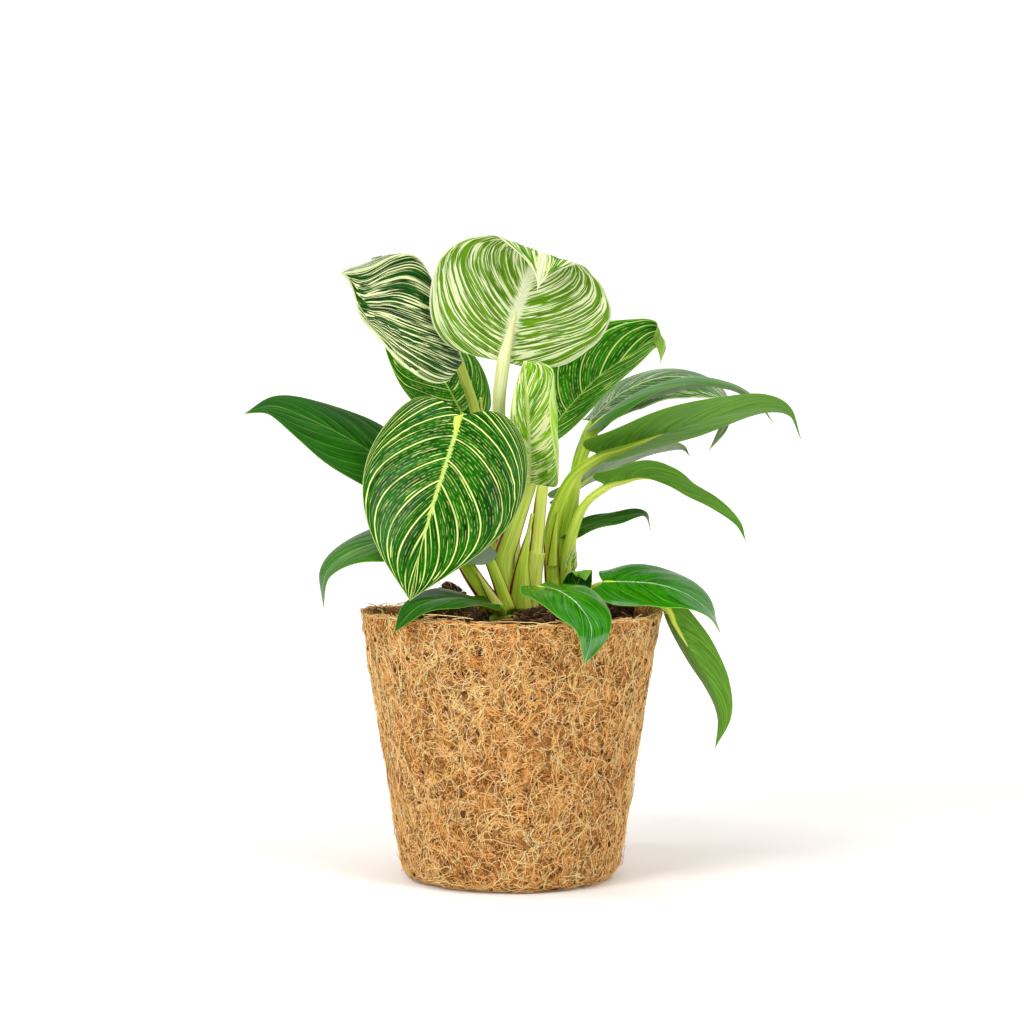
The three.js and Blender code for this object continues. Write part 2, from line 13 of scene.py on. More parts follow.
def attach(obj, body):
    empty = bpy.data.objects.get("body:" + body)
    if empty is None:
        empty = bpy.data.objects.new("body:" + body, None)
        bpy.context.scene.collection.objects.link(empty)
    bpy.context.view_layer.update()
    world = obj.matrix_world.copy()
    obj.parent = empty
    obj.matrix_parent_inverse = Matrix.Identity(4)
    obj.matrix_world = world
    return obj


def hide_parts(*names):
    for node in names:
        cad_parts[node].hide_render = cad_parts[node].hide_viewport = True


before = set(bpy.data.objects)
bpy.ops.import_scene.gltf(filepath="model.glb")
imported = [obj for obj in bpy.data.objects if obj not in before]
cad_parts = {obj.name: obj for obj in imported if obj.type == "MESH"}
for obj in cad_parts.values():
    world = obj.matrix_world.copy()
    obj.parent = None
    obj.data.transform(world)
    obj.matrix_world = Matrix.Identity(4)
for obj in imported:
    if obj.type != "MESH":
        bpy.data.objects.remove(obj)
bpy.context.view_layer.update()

MM = 0.001

# The coir pot and the soil in it.
POT_HEIGHT = 115
RIM_RADIUS = 64.7
FOOT_RADIUS = 46.5
FOOT_ROUND = 9
FLOOR = 5
WALL = 3.4
RIM_EDGE = 0.8
RIM_ZONE = 22
RIM_CORNER = {"angle": 0.1, "width": 0.21, "lift": 2.2, "flare": 0.9}
RIM_WAVES = {"two": 0.7, "three": 0.5, "five": 0.5}
SOIL_EDGE = 109
SOIL_RIPPLE = 0.7
HEAPS = [((10, -2), 7, 26), ((-27, 24), 17, 9), ((46, 14), 10, 9)]

# The outline of a blade and the run of its veins.
WIDEST = 0.3
LOBE_PLACE = 0.43
LOBE_SHARE = 0.4
TAPER = 1.15
TIP_BEND = 2.1
ROW_SWEEP = (0.25, 0.6)
MARGIN_WAVES = 2.6
MARGIN_PHASE = {-1: 2.2, 1: 0.5}
BLADE = 0.62
BLADE_EDGE = 0.2
RIB = 0.9
RIB_WIDTH = 1.3
VEIN_STEP = 10.4
QUILT = 0.16
CUP = -10

# How finely a blade is made: its rows from base to tip, and the points across each half.
WIDE_BLADE = 30
WIDE_ROWS = 120
NARROW_ROWS = 64
ACROSS = (0, 0.02, 0.045, 0.08, 0.13, 0.2, 0.29, 0.39, 0.5, 0.61, 0.72, 0.82, 0.9, 0.96, 1)

# The steps in mm by which the veins of each leaf, and of its two halves, are moved apart, so that
# no two are alike.
VEIN_OFFSET = 130
HALF_OFFSET = 37

# Each leaf: its midrib, the direction of its right half at the base (and at the tip, if it turns),
# width, lobe, fold and cup of its two halves, and the look it is painted with.
LEAVES = {
    "top_middle": dict(
        spine=[(-3, -8, 223), (1, -9, 240), (6, -10, 254), (10.5, -12, 265), (13, -17.5, 269.5),
               (13.5, -24, 265), (11, -26, 251.5)],
        side=(-0.94, 0, 0.33), side_tip=(-0.94, -0.07, 0.33), width=78, lobe=(-2, 0),
        widest=(0.44, 0.39), taper=(2.3, 2.55), fold=-2, cup=(3, 4), wave=0.4, look="banded"),
    "top_left": dict(
        spine=[(-21, 8, 224), (-28.5, 5, 245), (-38, 0, 266), (-47.5, -8, 269), (-61, -16, 262.5),
               (-72.5, -23.5, 260)],
        side=(0.4, 0.8, 0.44), side_tip=(0.43, 0.01, 0.9), skewed=True, width=85, halves=(1, 0.6),
        lobe=(1, 0), widest=(0.47, 0.42), taper=(1.7, 1.05), fold=(9, -90), cup=(-16, -13),
        wave=0.6, haste=2.2, look="feathered"),
    "back_left": dict(
        spine=[(-22, 20, 202), (-32, 26, 219), (-47, 31, 234), (-55, 33, 247)],
        side=(0.73, 0.53, 0.45), width=40, lobe=6, fold=6, look="deep"),
    "front_left": dict(
        spine=[(-21, -22, 200), (-27, -31, 180), (-33, -38, 161), (-38, -43, 142), (-42, -46, 123)],
        side=(-1, 0.1, 0.15), width=71, lobe=6, fold=-2, cup=-22, look="lined"),
    "far_left": dict(
        spine=[(-36, -4, 168), (-52, -4, 179), (-68, -3, 189), (-86, -2, 198), (-102, -2, 204),
               (-115, -3, 201)],
        side=(0.15, 0.8, 0.6), width=42, lobe=1, fold=4, cup=-16, look="plain"),
    "low_left": dict(
        spine=[(-12, -14, 146), (-32, -19, 149), (-52, -22, 147), (-68, -25, 142), (-78, -28, 133),
               (-79, -30, 119)],
        side=(0, 0.87, 0.5), side_tip=(-0.3, 0.9, 0.2), width=40, lobe=5, fold=4,
        cup=-14, look="lobed"),
    "rim_left": dict(
        spine=[(-9, -30, 121), (-24, -40, 124), (-38, -50, 121), (-48, -58, 111)],
        side=(-0.55, 0.75, 0.22), width=25, lobe=2, fold=6, cup=-12, look="plain"),
    "rim_front": dict(
        spine=[(12, -28, 128), (20, -41, 127), (28, -54, 122), (33, -66, 113), (30, -74, 99)],
        side=(-0.85, -0.4, -0.1), width=28, lobe=2, fold=6, cup=-20, look="bright"),
    "low_right": dict(
        spine=[(40, -14, 129), (51, -16, 129), (63, -18, 128), (75, -22, 124), (84, -26, 117),
               (89, -28, 108)],
        side=(0, -0.9, -0.45), width=35, lobe=3, fold=2, cup=-14, look="bright"),
    "hanging_right": dict(
        spine=[(68, -6, 117), (73, -5, 107), (80, -3, 95), (87, -2, 83), (91, -2, 70),
               (89, -2, 56)],
        side=(0.75, -0.3, 0.6), width=21, lobe=0.5, fold=(60, 4), look="plain"),
    "long_right": dict(
        spine=[(38, -2, 184), (57, -5, 190), (75, -8, 196), (92, -10, 201), (109, -12, 204),
               (119, -14, 201), (124, -16, 190)],
        side=(-0.15, -0.95, 0.3), width=50, lobe=4, fold=8, look="plain"),
    "upper_right": dict(
        spine=[(35, 10, 195), (47, 11, 205), (62, 12, 213), (80, 13, 217), (97, 14, 214),
               (108, 14, 207), (115, 13, 197)],
        side=(0, -1, 0.05), width=32, lobe=3, fold=-12, look="silvered"),
    "high_right": dict(
        spine=[(36, 43, 198), (50, 47, 210), (68, 50, 217), (84, 50, 216), (96, 47, 208),
               (97, 44, 196), (89, 41, 184)],
        side=(0, -0.93, -0.37), width=42, lobe=0.5, fold=-4, look="brushed"),
    "back_right": dict(
        spine=[(18, 20, 194), (29, 23, 207), (39, 25, 217), (52, 27, 226), (63, 28, 233),
               (68, 25, 233), (66, 20, 223)],
        side=(0.7, -0.1, -0.7), width=52, halves=(1, 0.6), lobe=6, taper=1.5, fold=(4, 58),
        cup=(-8, -5), look="deep"),
    "unrolling": dict(
        spine=[(8, -7, 171), (8, -9, 188), (7, -11, 206), (5.5, -12, 223.5)],
        side=(1, 0.1, 0), width=52, halves=(0.36, 1), lobe=1, widest=(0.45, 0.62), taper=(1.2, 0.6),
        fold=(20, -8), cup=(12, 150), wave=0.5, look="fresh"),
    "middle_right": dict(
        spine=[(41, -8, 171), (56, -10, 174), (67, -12, 171), (76, -14, 166), (86, -17, 161),
               (96, -20, 154), (100, -22, 147)],
        side=(0, -1, 0.1), width=34, lobe=4, fold=(30, 24), look="plain"),
    "small_right": dict(
        spine=[(24, 8, 148), (36, 6, 153), (48, 4, 156), (58, 2, 157), (61, 0, 150)],
        side=(0, -0.9, -0.3), width=18, lobe=2, fold=6, look="silvered"),
    "behind_right": dict(
        spine=[(21, 28, 164), (40, 30, 176), (58, 32, 184), (75, 33, 186), (80, 32, 182)],
        side=(0.1, -0.9, 0.35), width=34, lobe=4, fold=6, look="silvered"),
    "young_dark": dict(
        spine=[(27, -13, 122), (29, -15, 129), (31, -19, 134), (32, -23, 130)],
        side=(0.9, -0.3, 0.2), width=13, lobe=1, fold=10, cup=20, look="plain"),
    "young_light": dict(
        spine=[(25, 3, 132), (26, 1, 138), (28, -1, 144)],
        side=(0.9, 0.3, 0), width=7, lobe=0.5, fold=30, cup=20, look="fresh"),
}

# Each shoot: where it stands, the petioles to its leaves with their start and end radius, and its
# sheaths. Each row ends with how far up its crimson edge reaches, as a share of its length, and how
# pale it is.
SHOOTS = {
    "middle": dict(base=(4, 4), radius=9, petioles=[
        ("top_middle", [(1, 7, 118), (-1, 5, 160), (-5, -4, 199)], (5, 2.9), 0, 1),
        ("top_left", [(-1, 8, 118), (-8, 9, 160), (-15, 11, 200)], (5, 2.3), 0.2, 0.6),
        ("back_left", [(1, 10, 118), (-6, 15, 155), (-17, 17, 190)], (4.5, 2), 0, 0.3),
        ("front_left", [(-2, 3, 118), (-3, 4, 150), (-12, -10, 183)], (5, 2.2), 0.8, 0.3),
        ("back_right", [(8, 0, 118), (11, 0, 141), (13, 4, 162), (16, 13, 181)], (3.6, 2.2),
         0.5, 0.8),
        ("unrolling", [(0, -1, 118), (-3, -1, 136), (1, -3, 151)], (5, 4), 0.8, 0.4),
    ], sheaths=[
        ([(4, -2, 117), (5, -5, 135), (9.5, -6, 158)], (6, 0.8), 1.2, 0.2),
        ([(-11, 11, 185), (-12, 10, 197), (-13, 8, 208)], (2, 0.6), 1.5, 0.5),
        ([(8, 0, 117), (9.5, 0, 129), (11, 0, 141)], (4.8, 4.1), 0.2, 0.6),
    ]),
    "right": dict(base=(24, 13), radius=7.5, petioles=[
        ("long_right", [(19, 9, 118), (18, 4, 150), (26, 0, 172)], (4, 2.5), 0.3, 0.15),
        ("upper_right", [(21, 12, 118), (23, 10, 150), (30, 9, 178)], (4, 2.4), 0, 0.1),
        ("high_right", [(24, 17, 118), (26, 13, 150), (29, 15, 177), (33, 31, 190)], (4, 2),
         0, 0.1),
        ("middle_right", [(25, 9, 118), (25, 2, 140), (31, -5, 160)], (3.5, 1.8), 0, 0.4),
        ("small_right", [(27, 11, 118), (26, 10, 138)], (3, 1.6), 0, 0),
        ("behind_right", [(23, 17, 118), (20, 26, 145)], (3.5, 2), 0, 0.1),
        ("young_light", [(26, 9, 118), (25, 5, 126)], (2.5, 1.5), 0, 0.4),
    ], sheaths=[
        ([(18, 4, 135), (19, 1, 148), (20.5, -1, 158)], (2.6, 0.7), 1.2, 0.2),
    ]),
    "low_right": dict(base=(31, -9), radius=5.5, petioles=[
        ("low_right", [(32, -10, 116), (35, -12, 125)], (2.8, 1.9), 0.2, 0.2),
        ("hanging_right", [(33, -8, 116), (43, -7, 122), (58, -6, 122)], (2.6, 1.5), 0.1, 0.4),
        ("rim_front", [(29, -12, 116), (20, -21, 122)], (2.8, 1.7), 0, 0.1),
        ("young_dark", [(30, -11, 115), (28, -12, 118)], (2.6, 1.6), 0, 0),
    ], sheaths=[]),
    "left": dict(base=(-3, -14), radius=6.5, petioles=[
        ("far_left", [(-6, -15, 117), (-18, -11, 134), (-29, -1, 155)], (4.5, 2.3), 0.7, 0),
        ("low_left", [(-1, -15, 117), (-7, -15, 134)], (3.6, 2.3), 0.9, 0.1),
        ("rim_left", [(-4, -18, 116), (-6, -25, 119)], (2.6, 1.6), 0, 0),
    ], sheaths=[
        ([(-5, -17, 118), (-10, -17, 126), (-14, -16, 133)], (3, 0.8), 1.5, 0.9),
    ]),
}

STEM_DEPTH = 14
BASE_SHOWS = 1.5
STEM_SIDES = 20
STEM_STEPS = 30
TAPER_END = 0.8
STEM_GROOVE = 0.12
RIB_RUN = 0.3
GROUND_DEPTH = 5
AERIAL_ROOT = {"path": [(-5, -24), (0, -25), (6, -23), (11, -19), (13, -13)], "radius": 0.9}
ROOT_LIFT = 0.7

# How finely the meshes are made, and how rough the coir wall and the soil are.
POT_SIDES = 260
POT_STEPS = 84
SCATTER_SIDES = 200
SOIL_SIDES = 150
SOIL_RINGS = 60
COIR_ROUGHNESS = 0.5
SOIL_ROUGHNESS = 1.8

# The colours, as the eye reads them (0 to 255).
CREAM = (220, 230, 178)
CREAM_GREEN = (196, 216, 116)
SILVER = (150, 164, 150)


def paint(colour):
    """A colour as the shader wants it, from its display values. A socket stays as it is."""
    if isinstance(colour, bpy.types.NodeSocket):
        return colour

    def linear(value):
        value /= 255
        return value / 12.92 if value <= 0.04045 else ((value + 0.055) / 1.055) ** 2.4

    return (*(linear(value) for value in colour), 1)


# Node trees: one class for a socket in a sum, one for a tree that makes its nodes.


def operator(operation, swapped=False):
    """What a sign between two numbers does: it makes a Math node."""
    def join(self, other):
        first, second = (other, self) if swapped else (self, other)
        return self.tree.math(operation, first, second)

    return join


class Value:
    """A number socket that takes part in Python arithmetic."""

    def __init__(self, tree, socket):
        self.tree = tree
        self.socket = socket

    __add__ = operator("ADD")
    __radd__ = operator("ADD", swapped=True)
    __sub__ = operator("SUBTRACT")
    __rsub__ = operator("SUBTRACT", swapped=True)
    __mul__ = operator("MULTIPLY")
    __rmul__ = operator("MULTIPLY", swapped=True)
    __truediv__ = operator("DIVIDE")
    __rtruediv__ = operator("DIVIDE", swapped=True)


class Tree:
    """A node tree whose nodes are made by one method."""

    def __init__(self, tree):
        self.tree = tree

    def node(self, kind, settings=None, inputs=None):
        made = self.tree.nodes.new(kind)
        for name, value in (settings or {}).items():
            if name == "stops":
                self.set_stops(made.color_ramp, value)
            else:
                setattr(made, name, value)
        for name, value in (inputs or {}).items():
            self.feed(made.inputs[name], value)
        return made

    def feed(self, socket, value):
        if isinstance(value, Value):
            value = value.socket
        if isinstance(value, bpy.types.NodeSocket):
            self.tree.links.new(value, socket)
        else:
            socket.default_value = value

    def set_stops(self, ramp, stops):
        while len(ramp.elements) < len(stops):
            ramp.elements.new(1)
        for element, (place, colour) in zip(ramp.elements, stops):
            element.position = place
            element.color = paint(colour)

    def math(self, operation, first, second=0.0):
        made = self.node("ShaderNodeMath", {"operation": operation}, {0: first, 1: second})
        return Value(self, made.outputs[0])

    def vector(self, x, y, z):
        return self.node("ShaderNodeCombineXYZ", None, {0: x, 1: y, 2: z}).outputs[0]

    def split(self, vector):
        made = self.node("ShaderNodeSeparateXYZ", None, {0: vector})
        return [Value(self, socket) for socket in made.outputs]

    def noise(self, vector, scale, detail, roughness=0.5):
        inputs = {"Vector": vector, "Scale": scale, "Detail": detail, "Roughness": roughness}
        return Value(self, self.node("ShaderNodeTexNoise", None, inputs).outputs[0])

    def grain(self, x, y, z, detail, roughness=0.5):
        """Noise that runs in streaks, where x, y and z are stretched apart."""
        return self.noise(self.vector(x, y, z), 1, detail, roughness)

    def step(self, value, low, high):
        """0 below low, 1 above high, smooth between them."""
        inputs = {"Value": value, "From Min": low, "From Max": high}
        made = self.node("ShaderNodeMapRange", {"interpolation_type": "SMOOTHSTEP"}, inputs)
        return Value(self, made.outputs[0])

    def larger(self, first, second):
        return self.math("MAXIMUM", first, second)


class Finish(Tree):
    """A material with one Principled shader."""

    def __init__(self, name, **constants):
        self.material = bpy.data.materials.new(name)
        self.material.use_nodes = True
        super().__init__(self.material.node_tree)
        self.shader = self.tree.nodes["Principled BSDF"]
        for socket, value in constants.items():
            self.shader.inputs[socket.replace("_", " ")].default_value = value

    def attribute(self, name):
        return self.node("ShaderNodeAttribute", {"attribute_name": name})

    def number(self, name):
        return Value(self, self.attribute(name).outputs["Fac"])

    def parts(self, name):
        return self.split(self.attribute(name).outputs["Vector"])

    def place(self):
        return self.node("ShaderNodeTexCoord").outputs["Object"]

    def blend(self, share, first, second):
        """Colour first where share is 0 and second where it is 1."""
        made = self.node("ShaderNodeMix", {"data_type": "RGBA"}, {"Factor": share})
        self.feed(made.inputs[6], paint(first))
        self.feed(made.inputs[7], paint(second))
        return made.outputs[2]

    def ramp(self, value, stops):
        return self.node("ShaderNodeValToRGB", {"stops": stops}, {0: value}).outputs[0]

    def bump(self, height, strength, distance):
        inputs = {"Height": height, "Strength": strength, "Distance": distance}
        return self.node("ShaderNodeBump", None, inputs).outputs[0]

    def wear(self, **sockets):
        for name, value in sockets.items():
            self.feed(self.shader.inputs[name.replace("_", " ")], value)
        return self.material


# Leaf finishes. The vein attribute holds the place of the vein (mm along the midrib), the share
# across from midrib to margin and how close the veins run; gaps holds the distances to midrib and
# margin (mm) and the share towards the tip. Widths are half widths in mm.

def look_with(**own):
    """The words of a leaf's look. Those that it doesn't name are as on the plain leaves."""
    plain = dict(cream=0.9, veins=0.35, threads=0.3, margin=0.3, edge=(116, 160, 56),
                 under_cream=0.9, gloss=0.32, rib_width=0.4, rib_end=1.2, streak=0.95, shine=0.12,
                 silver=0)
    return {**plain, **own}


LOOKS = {
    "banded": look_with(
        deep=(40, 100, 4), fresh=(88, 148, 12), line=(228, 238, 164), edge=(226, 232, 190),
        under=(70, 110, 0), rib=(232, 236, 196), cream=0.53, under_cream=0.523, veins=0.3,
        threads=0.2, margin=1.0, gloss=0.4, rib_width=2.7, rib_end=1.3, streak=0.8),
    "feathered": look_with(
        deep=(3, 38, 2), fresh=(24, 90, 4), line=(232, 242, 178), edge=(224, 232, 180),
        under=(40, 88, 20), rib=(220, 230, 170), cream=0.53, under_cream=0.53, veins=0.3,
        threads=0.12, margin=1.3, gloss=0.36, rib_width=0.9, rib_end=1.3, streak=0.78),
    "brushed": look_with(
        deep=(16, 72, 4), fresh=(60, 128, 14), line=(224, 234, 184), edge=(206, 220, 150),
        under=(84, 124, 60), rib=(200, 220, 150), cream=0.59, under_cream=0.6, veins=0.4,
        margin=0.8, gloss=0.34, rib_width=0.6, streak=0.8),
    "lined": look_with(
        deep=(3, 44, 0), fresh=(32, 118, 4), line=(238, 252, 150), edge=(200, 222, 130),
        under=(96, 140, 60), rib=(208, 232, 118), cream=0.645, veins=0.72, threads=0.5,
        margin=0.5, gloss=0.25, rib_width=1.1, rib_end=0.85, shine=0.07),
    "deep": look_with(
        deep=(6, 68, 0), fresh=(56, 146, 4), line=(226, 246, 140), edge=(150, 196, 70),
        under=(104, 140, 50), rib=(176, 208, 90), cream=0.63, veins=0.64, threads=0.7,
        margin=0.35, rib_width=0.6),
    "bright": look_with(
        deep=(14, 84, 0), fresh=(50, 144, 0), line=(110, 180, 44), edge=(140, 194, 60),
        under=(150, 172, 120), rib=(204, 224, 184), veins=0.3, threads=0.4, gloss=0.15,
        rib_end=0.75, shine=0.28),
    "plain": look_with(
        deep=(6, 56, 4), fresh=(36, 102, 8), line=(96, 150, 40), under=(76, 124, 34),
        rib=(96, 152, 52), gloss=0.3, rib_width=0.35, shine=0.09),
    "silvered": look_with(
        deep=(16, 76, 4), fresh=(64, 132, 16), line=(110, 160, 60), under=(112, 130, 104),
        rib=(140, 170, 110)),
    "lobed": look_with(
        deep=(16, 74, 0), fresh=(64, 134, 0), line=(120, 174, 40), edge=(130, 180, 60),
        under=(54, 128, 10), rib=(140, 190, 90), gloss=0.2, silver=0.85, shine=0.08),
    "fresh": look_with(
        deep=(54, 128, 0), fresh=(150, 210, 14), line=(246, 250, 188), edge=(214, 226, 146),
        under=(134, 192, 20), rib=(216, 230, 140), cream=0.52, under_cream=0.52, veins=0.3,
        threads=0.2, margin=0.6, gloss=0.34, rib_width=0.9, streak=1.1),
}
STRIPED_LOOKS = ("banded", "feathered", "brushed", "fresh")
THREAD_STEPS = (1.3, 2.6, 5.2)


def leaf_finish(name, look):
    finish = Finish(name, Specular_IOR_Level=look["shine"])
    vein, across, closeness = finish.parts("vein")
    rib_gap, edge_gap, share = finish.parts("gaps")
    under = finish.number("under")
    wander = finish.grain(vein * 0.11, across * 1.2, 0.0, 1) - 0.5
    strand = vein + wander * 2.4

    # Cream streaks that run from the midrib to the margin, as wide where the veins lie far apart as
    # where they close in.
    finest = finish.math("LOGARITHM", closeness * look["streak"], 2.0)
    streaks = 0.0
    for octave in range(-3, 4):
        layer = finish.grain(strand * 2.0**octave, across * 1.9, 3.0 * octave, 3, 0.6)
        nearness = finish.larger(1 - finish.math("ABSOLUTE", finest + octave), 0.0)
        streaks = streaks + (layer - 0.5) * nearness
    streaks = streaks + 0.5
    narrow = finish.grain(strand * 2.3, across * 2.2, 9.0, 2, 0.6)
    hair = finish.grain(strand * 4.8, across * 5, 15.0, 1)

    def striped(limit):
        return finish.step(streaks, limit - 0.015, limit + 0.015)

    # Vein lines: strong ones far apart, threads between them that keep their distance, and gaps.
    def line_at(spacing, width):
        turn = finish.math("PINGPONG", strand, spacing / 2)
        room = finish.math("MINIMUM", spacing / closeness / min(4, spacing), 1)
        return 1 - finish.step(turn / closeness / (room * width), 0.5, 1.25)

    strong = line_at(VEIN_STEP, look["veins"] * 0.42 + 0.05)
    half_way = line_at(VEIN_STEP / 2, look["veins"] * 0.24 + 0.05)
    strength = finish.grain(strand * 0.13, across * 2.4, 21.0, 1)
    half_way = half_way * finish.step(strength, 0.5, 0.62)
    veins = finish.larger(strong * finish.step(strength, 0.3, 0.5), half_way)
    veins = veins * min(1, look["veins"] * 1.3)
    dotted = finish.grain(strand * 0.9, across * 18, 27.0, 1)
    threads = 0.0
    for spacing in THREAD_STEPS:
        room = finish.step(spacing / closeness, 0.75, 1.25)
        thread = line_at(spacing, 0.13 if spacing < 5 else 0.2) * room
        threads = finish.larger(thread, threads)
    threads = threads * finish.step(dotted, 0.4, 0.6) * look["threads"]

    # The upper face: green with darker hairs, cream streaks, vein lines and margin.
    tint = finish.grain(strand * 0.5, across * 2.2, 33.0, 3)
    shade = finish.step(tint * 0.6 + hair * 0.4, 0.34, 0.66)
    green = finish.blend(shade, look["deep"], look["fresh"])
    upper = finish.blend(threads, green, look["line"])
    upper = finish.blend(striped(look["cream"]), upper, look["line"])
    upper = finish.blend(veins, upper, look["line"])

    # The underside: duller and paler, with the same streaks.
    dull = finish.blend(shade, look["under"], [min(255, part * 1.3 + 12) for part in look["under"]])
    lower = finish.blend(striped(look["under_cream"]), dull, CREAM)
    faint = finish.larger(strong * (0.6 * look["veins"]), threads * 0.45)
    lower = finish.blend(faint, lower, CREAM_GREEN)
    silver = (1 - finish.step(share, 0.14, 0.24)) * look["silver"]
    skin = finish.blend(silver, finish.blend(under, upper, lower), SILVER)
    ragged = edge_gap + (narrow - 0.5) * 0.9
    rim = 1 - finish.step(ragged, look["margin"] * 0.6, look["margin"])
    skin = finish.blend(rim * 0.92, skin, look["edge"])

    # The midrib narrows towards the tip, and its sides are ragged.
    left = 1 - finish.step(share, look["rib_end"] * 0.55, look["rib_end"])
    width = finish.larger(left * look["rib_width"], 0.16) + under * 0.15
    ragged_gap = rib_gap + (streaks - 0.5) * width * 5
    midrib = 1 - finish.step(ragged_gap / width, 0.5, 1.0)
    midrib = midrib * finish.step(narrow, 0.3, 0.54)
    skin = finish.blend(midrib, skin, look["rib"])

    grain = finish.noise(finish.place(), 1800, 2)
    height = strong * -0.6 + threads * -0.25 + streaks * 0.5 + grain * 0.12
    ridges = finish.bump(height, 0.3, 0.0004)
    rough = look["gloss"] + under * 0.24 + (tint - 0.5) * 0.08 + grain * 0.04
    return finish.wear(Base_Color=skin, Roughness=rough, Normal=ridges)


def stem_finish():
    """Petioles and sheaths: lime green, streaked with cream, with crimson edges."""
    finish = Finish("stem_skin", Specular_IOR_Level=0.14)
    share, turn, length = finish.parts("stem")
    blush = finish.number("blush")
    pale = finish.number("pale")
    streak = finish.grain(turn * 2.4, length * 0.03, share, 3, 0.6)
    fine = finish.grain(turn * 9, length * 0.05, 5.0, 2)
    light = finish.step(streak * 0.7 + fine * 0.3, 0.36, 0.64)
    green = finish.blend(light, (146, 204, 14), (232, 248, 92))
    yellow = finish.blend(light, (232, 242, 92), (252, 252, 166))
    cream = finish.blend(light, (214, 226, 130), (240, 242, 196))
    skin = finish.blend(pale, green, finish.blend(finish.step(pale, 0.9, 1.0), yellow, cream))
    foot = 1 - finish.step(length, 2.0, 22.0)
    skin = finish.blend(foot * 0.3, skin, (176, 184, 60))
    edge = finish.grain(turn * 1.2, length * 0.12, share, 2)
    skin = finish.blend(finish.step(blush * (0.55 + edge), 0.4, 0.7), skin, (150, 20, 34))
    ridges = finish.bump(streak * 0.5 + fine * 0.5, 0.35, 0.0003)
    return finish.wear(Base_Color=skin, Roughness=0.36 + streak * 0.12, Normal=ridges)


# The directions, in radians, of the coir threads that cross.
THREAD_TURNS = (0.2, 0.85, 1.5, 2.2, 2.8)


def coir_finish():
    """The matted wall under the loose fibres: thin threads that cross, with painted shade in the
    gaps between them and a painted highlight on their tops.
    """
    finish = Finish("coir_mat", Specular_IOR_Level=0.15)
    arc, height, _ = finish.parts("wall")
    bend = finish.grain(arc * 0.16, height * 0.16, 0.0, 2) - 0.5
    threads = 0.0
    for index, turn in enumerate(THREAD_TURNS):
        run, side = math.cos(turn), math.sin(turn)
        along = arc * run + height * side
        across = height * run - arc * side + bend * 16
        strand = finish.grain(along * 0.1, across * 1.15, 7.0 * index, 1)
        ridge = 1 - finish.math("ABSOLUTE", strand - 0.5) * 16
        layer = finish.larger(ridge, 0.0) * (1 - 0.12 * index)
        threads = finish.larger(layer, threads)
    grain = finish.grain(arc * 2.4, height * 2.4, 3.0, 2, 0.7)
    clumps = finish.grain(arc * 0.09, height * 0.09, 9.0, 2)
    # The colour follows the height of the relief. The gaps between the threads are near black,
    # which is painted shade. The threads' tops are lightest, which is a painted highlight. The
    # tones between are the coir's own.
    depth = threads * 0.62 + grain * 0.5 + (clumps - 0.5) * 0.3
    skin = finish.ramp(depth, [(0.3, (10, 4, 1)), (0.48, (92, 44, 14)),
                               (0.66, (222, 140, 66)), (0.85, (255, 212, 136))])
    ridges = finish.bump(depth, 0.8, 0.001)
    return finish.wear(Base_Color=skin, Roughness=0.85 + grain * 0.1, Normal=ridges)


def fibre_finish(name, dark, middle, light):
    finish = Finish(name, Specular_IOR_Level=0.35)
    tone = finish.number("tone")
    along = finish.noise(finish.place(), 240, 2)
    shade = tone * 0.75 + along * 0.25
    skin = finish.ramp(shade, [(0.05, dark), (0.45, middle), (0.9, light)])
    return finish.wear(Base_Color=skin, Roughness=0.6 + along * 0.2)


def soil_finish(name, dark, light):
    finish = Finish(name, Specular_IOR_Level=0.25)
    place = finish.place()
    grains = finish.noise(place, 700, 4, 0.7)
    patches = finish.noise(place, 120, 2)
    shade = grains * 0.7 + patches * 0.3
    skin = finish.ramp(shade, [(0.35, dark), (0.7, light)])
    ridges = finish.bump(grains, 0.8, 0.0008)
    return finish.wear(Base_Color=skin, Roughness=0.8 + patches * 0.15, Normal=ridges)


# Meshes


def put_in_scene(thing):
    bpy.context.scene.collection.objects.link(thing)
    return thing


def bare_mesh(name, points, faces, scale=MM):
    mesh = bpy.data.meshes.new(name)
    mesh.from_pydata([tuple(c * scale for c in point) for point in points], [], faces)
    return mesh


def smooth_piece(name, mesh, material=None):
    if material:
        mesh.materials.append(material)
    mesh.polygons.foreach_set("use_smooth", [True] * len(mesh.polygons))
    mesh.update()
    return put_in_scene(bpy.data.objects.new(name, mesh))


def make_mesh(name, points, faces, material, **notes):
    """A piece from points in millimetres, with a number or a vector for each point in each note."""
    piece = smooth_piece(name, bare_mesh(name, points, faces), material)
    for note, values in notes.items():
        values = np.asarray(values, float)
        kind, field = ("FLOAT", "value") if values.ndim == 1 else ("FLOAT_VECTOR", "vector")
        layer = piece.data.attributes.new(note, kind, "POINT")
        layer.data.foreach_set(field, values.ravel())
    return piece


def put_on_frame(piece, slot, *nodes):
    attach(piece, "root")
    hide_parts(*nodes)


def circle(radius, sides):
    turns = [2 * math.pi * k / sides for k in range(sides)]
    return [(radius * math.cos(turn), radius * math.sin(turn)) for turn in turns]


def joined_rings(rings, closed=True):
    """Rings of points, one after another, with faces between them and, if closed, at both ends."""
    sides = len(rings[0])
    points = [point for ring in rings for point in ring]
    faces = []
    for level in range(len(rings) - 1):
        low, high = level * sides, (level + 1) * sides
        for k in range(sides):
            after = (k + 1) % sides
            faces.append((low + k, low + after, high + after, high + k))
    if closed:
        last = len(points) - sides
        faces += [tuple(range(sides - 1, -1, -1)), tuple(range(last, last + sides))]
    return points, faces


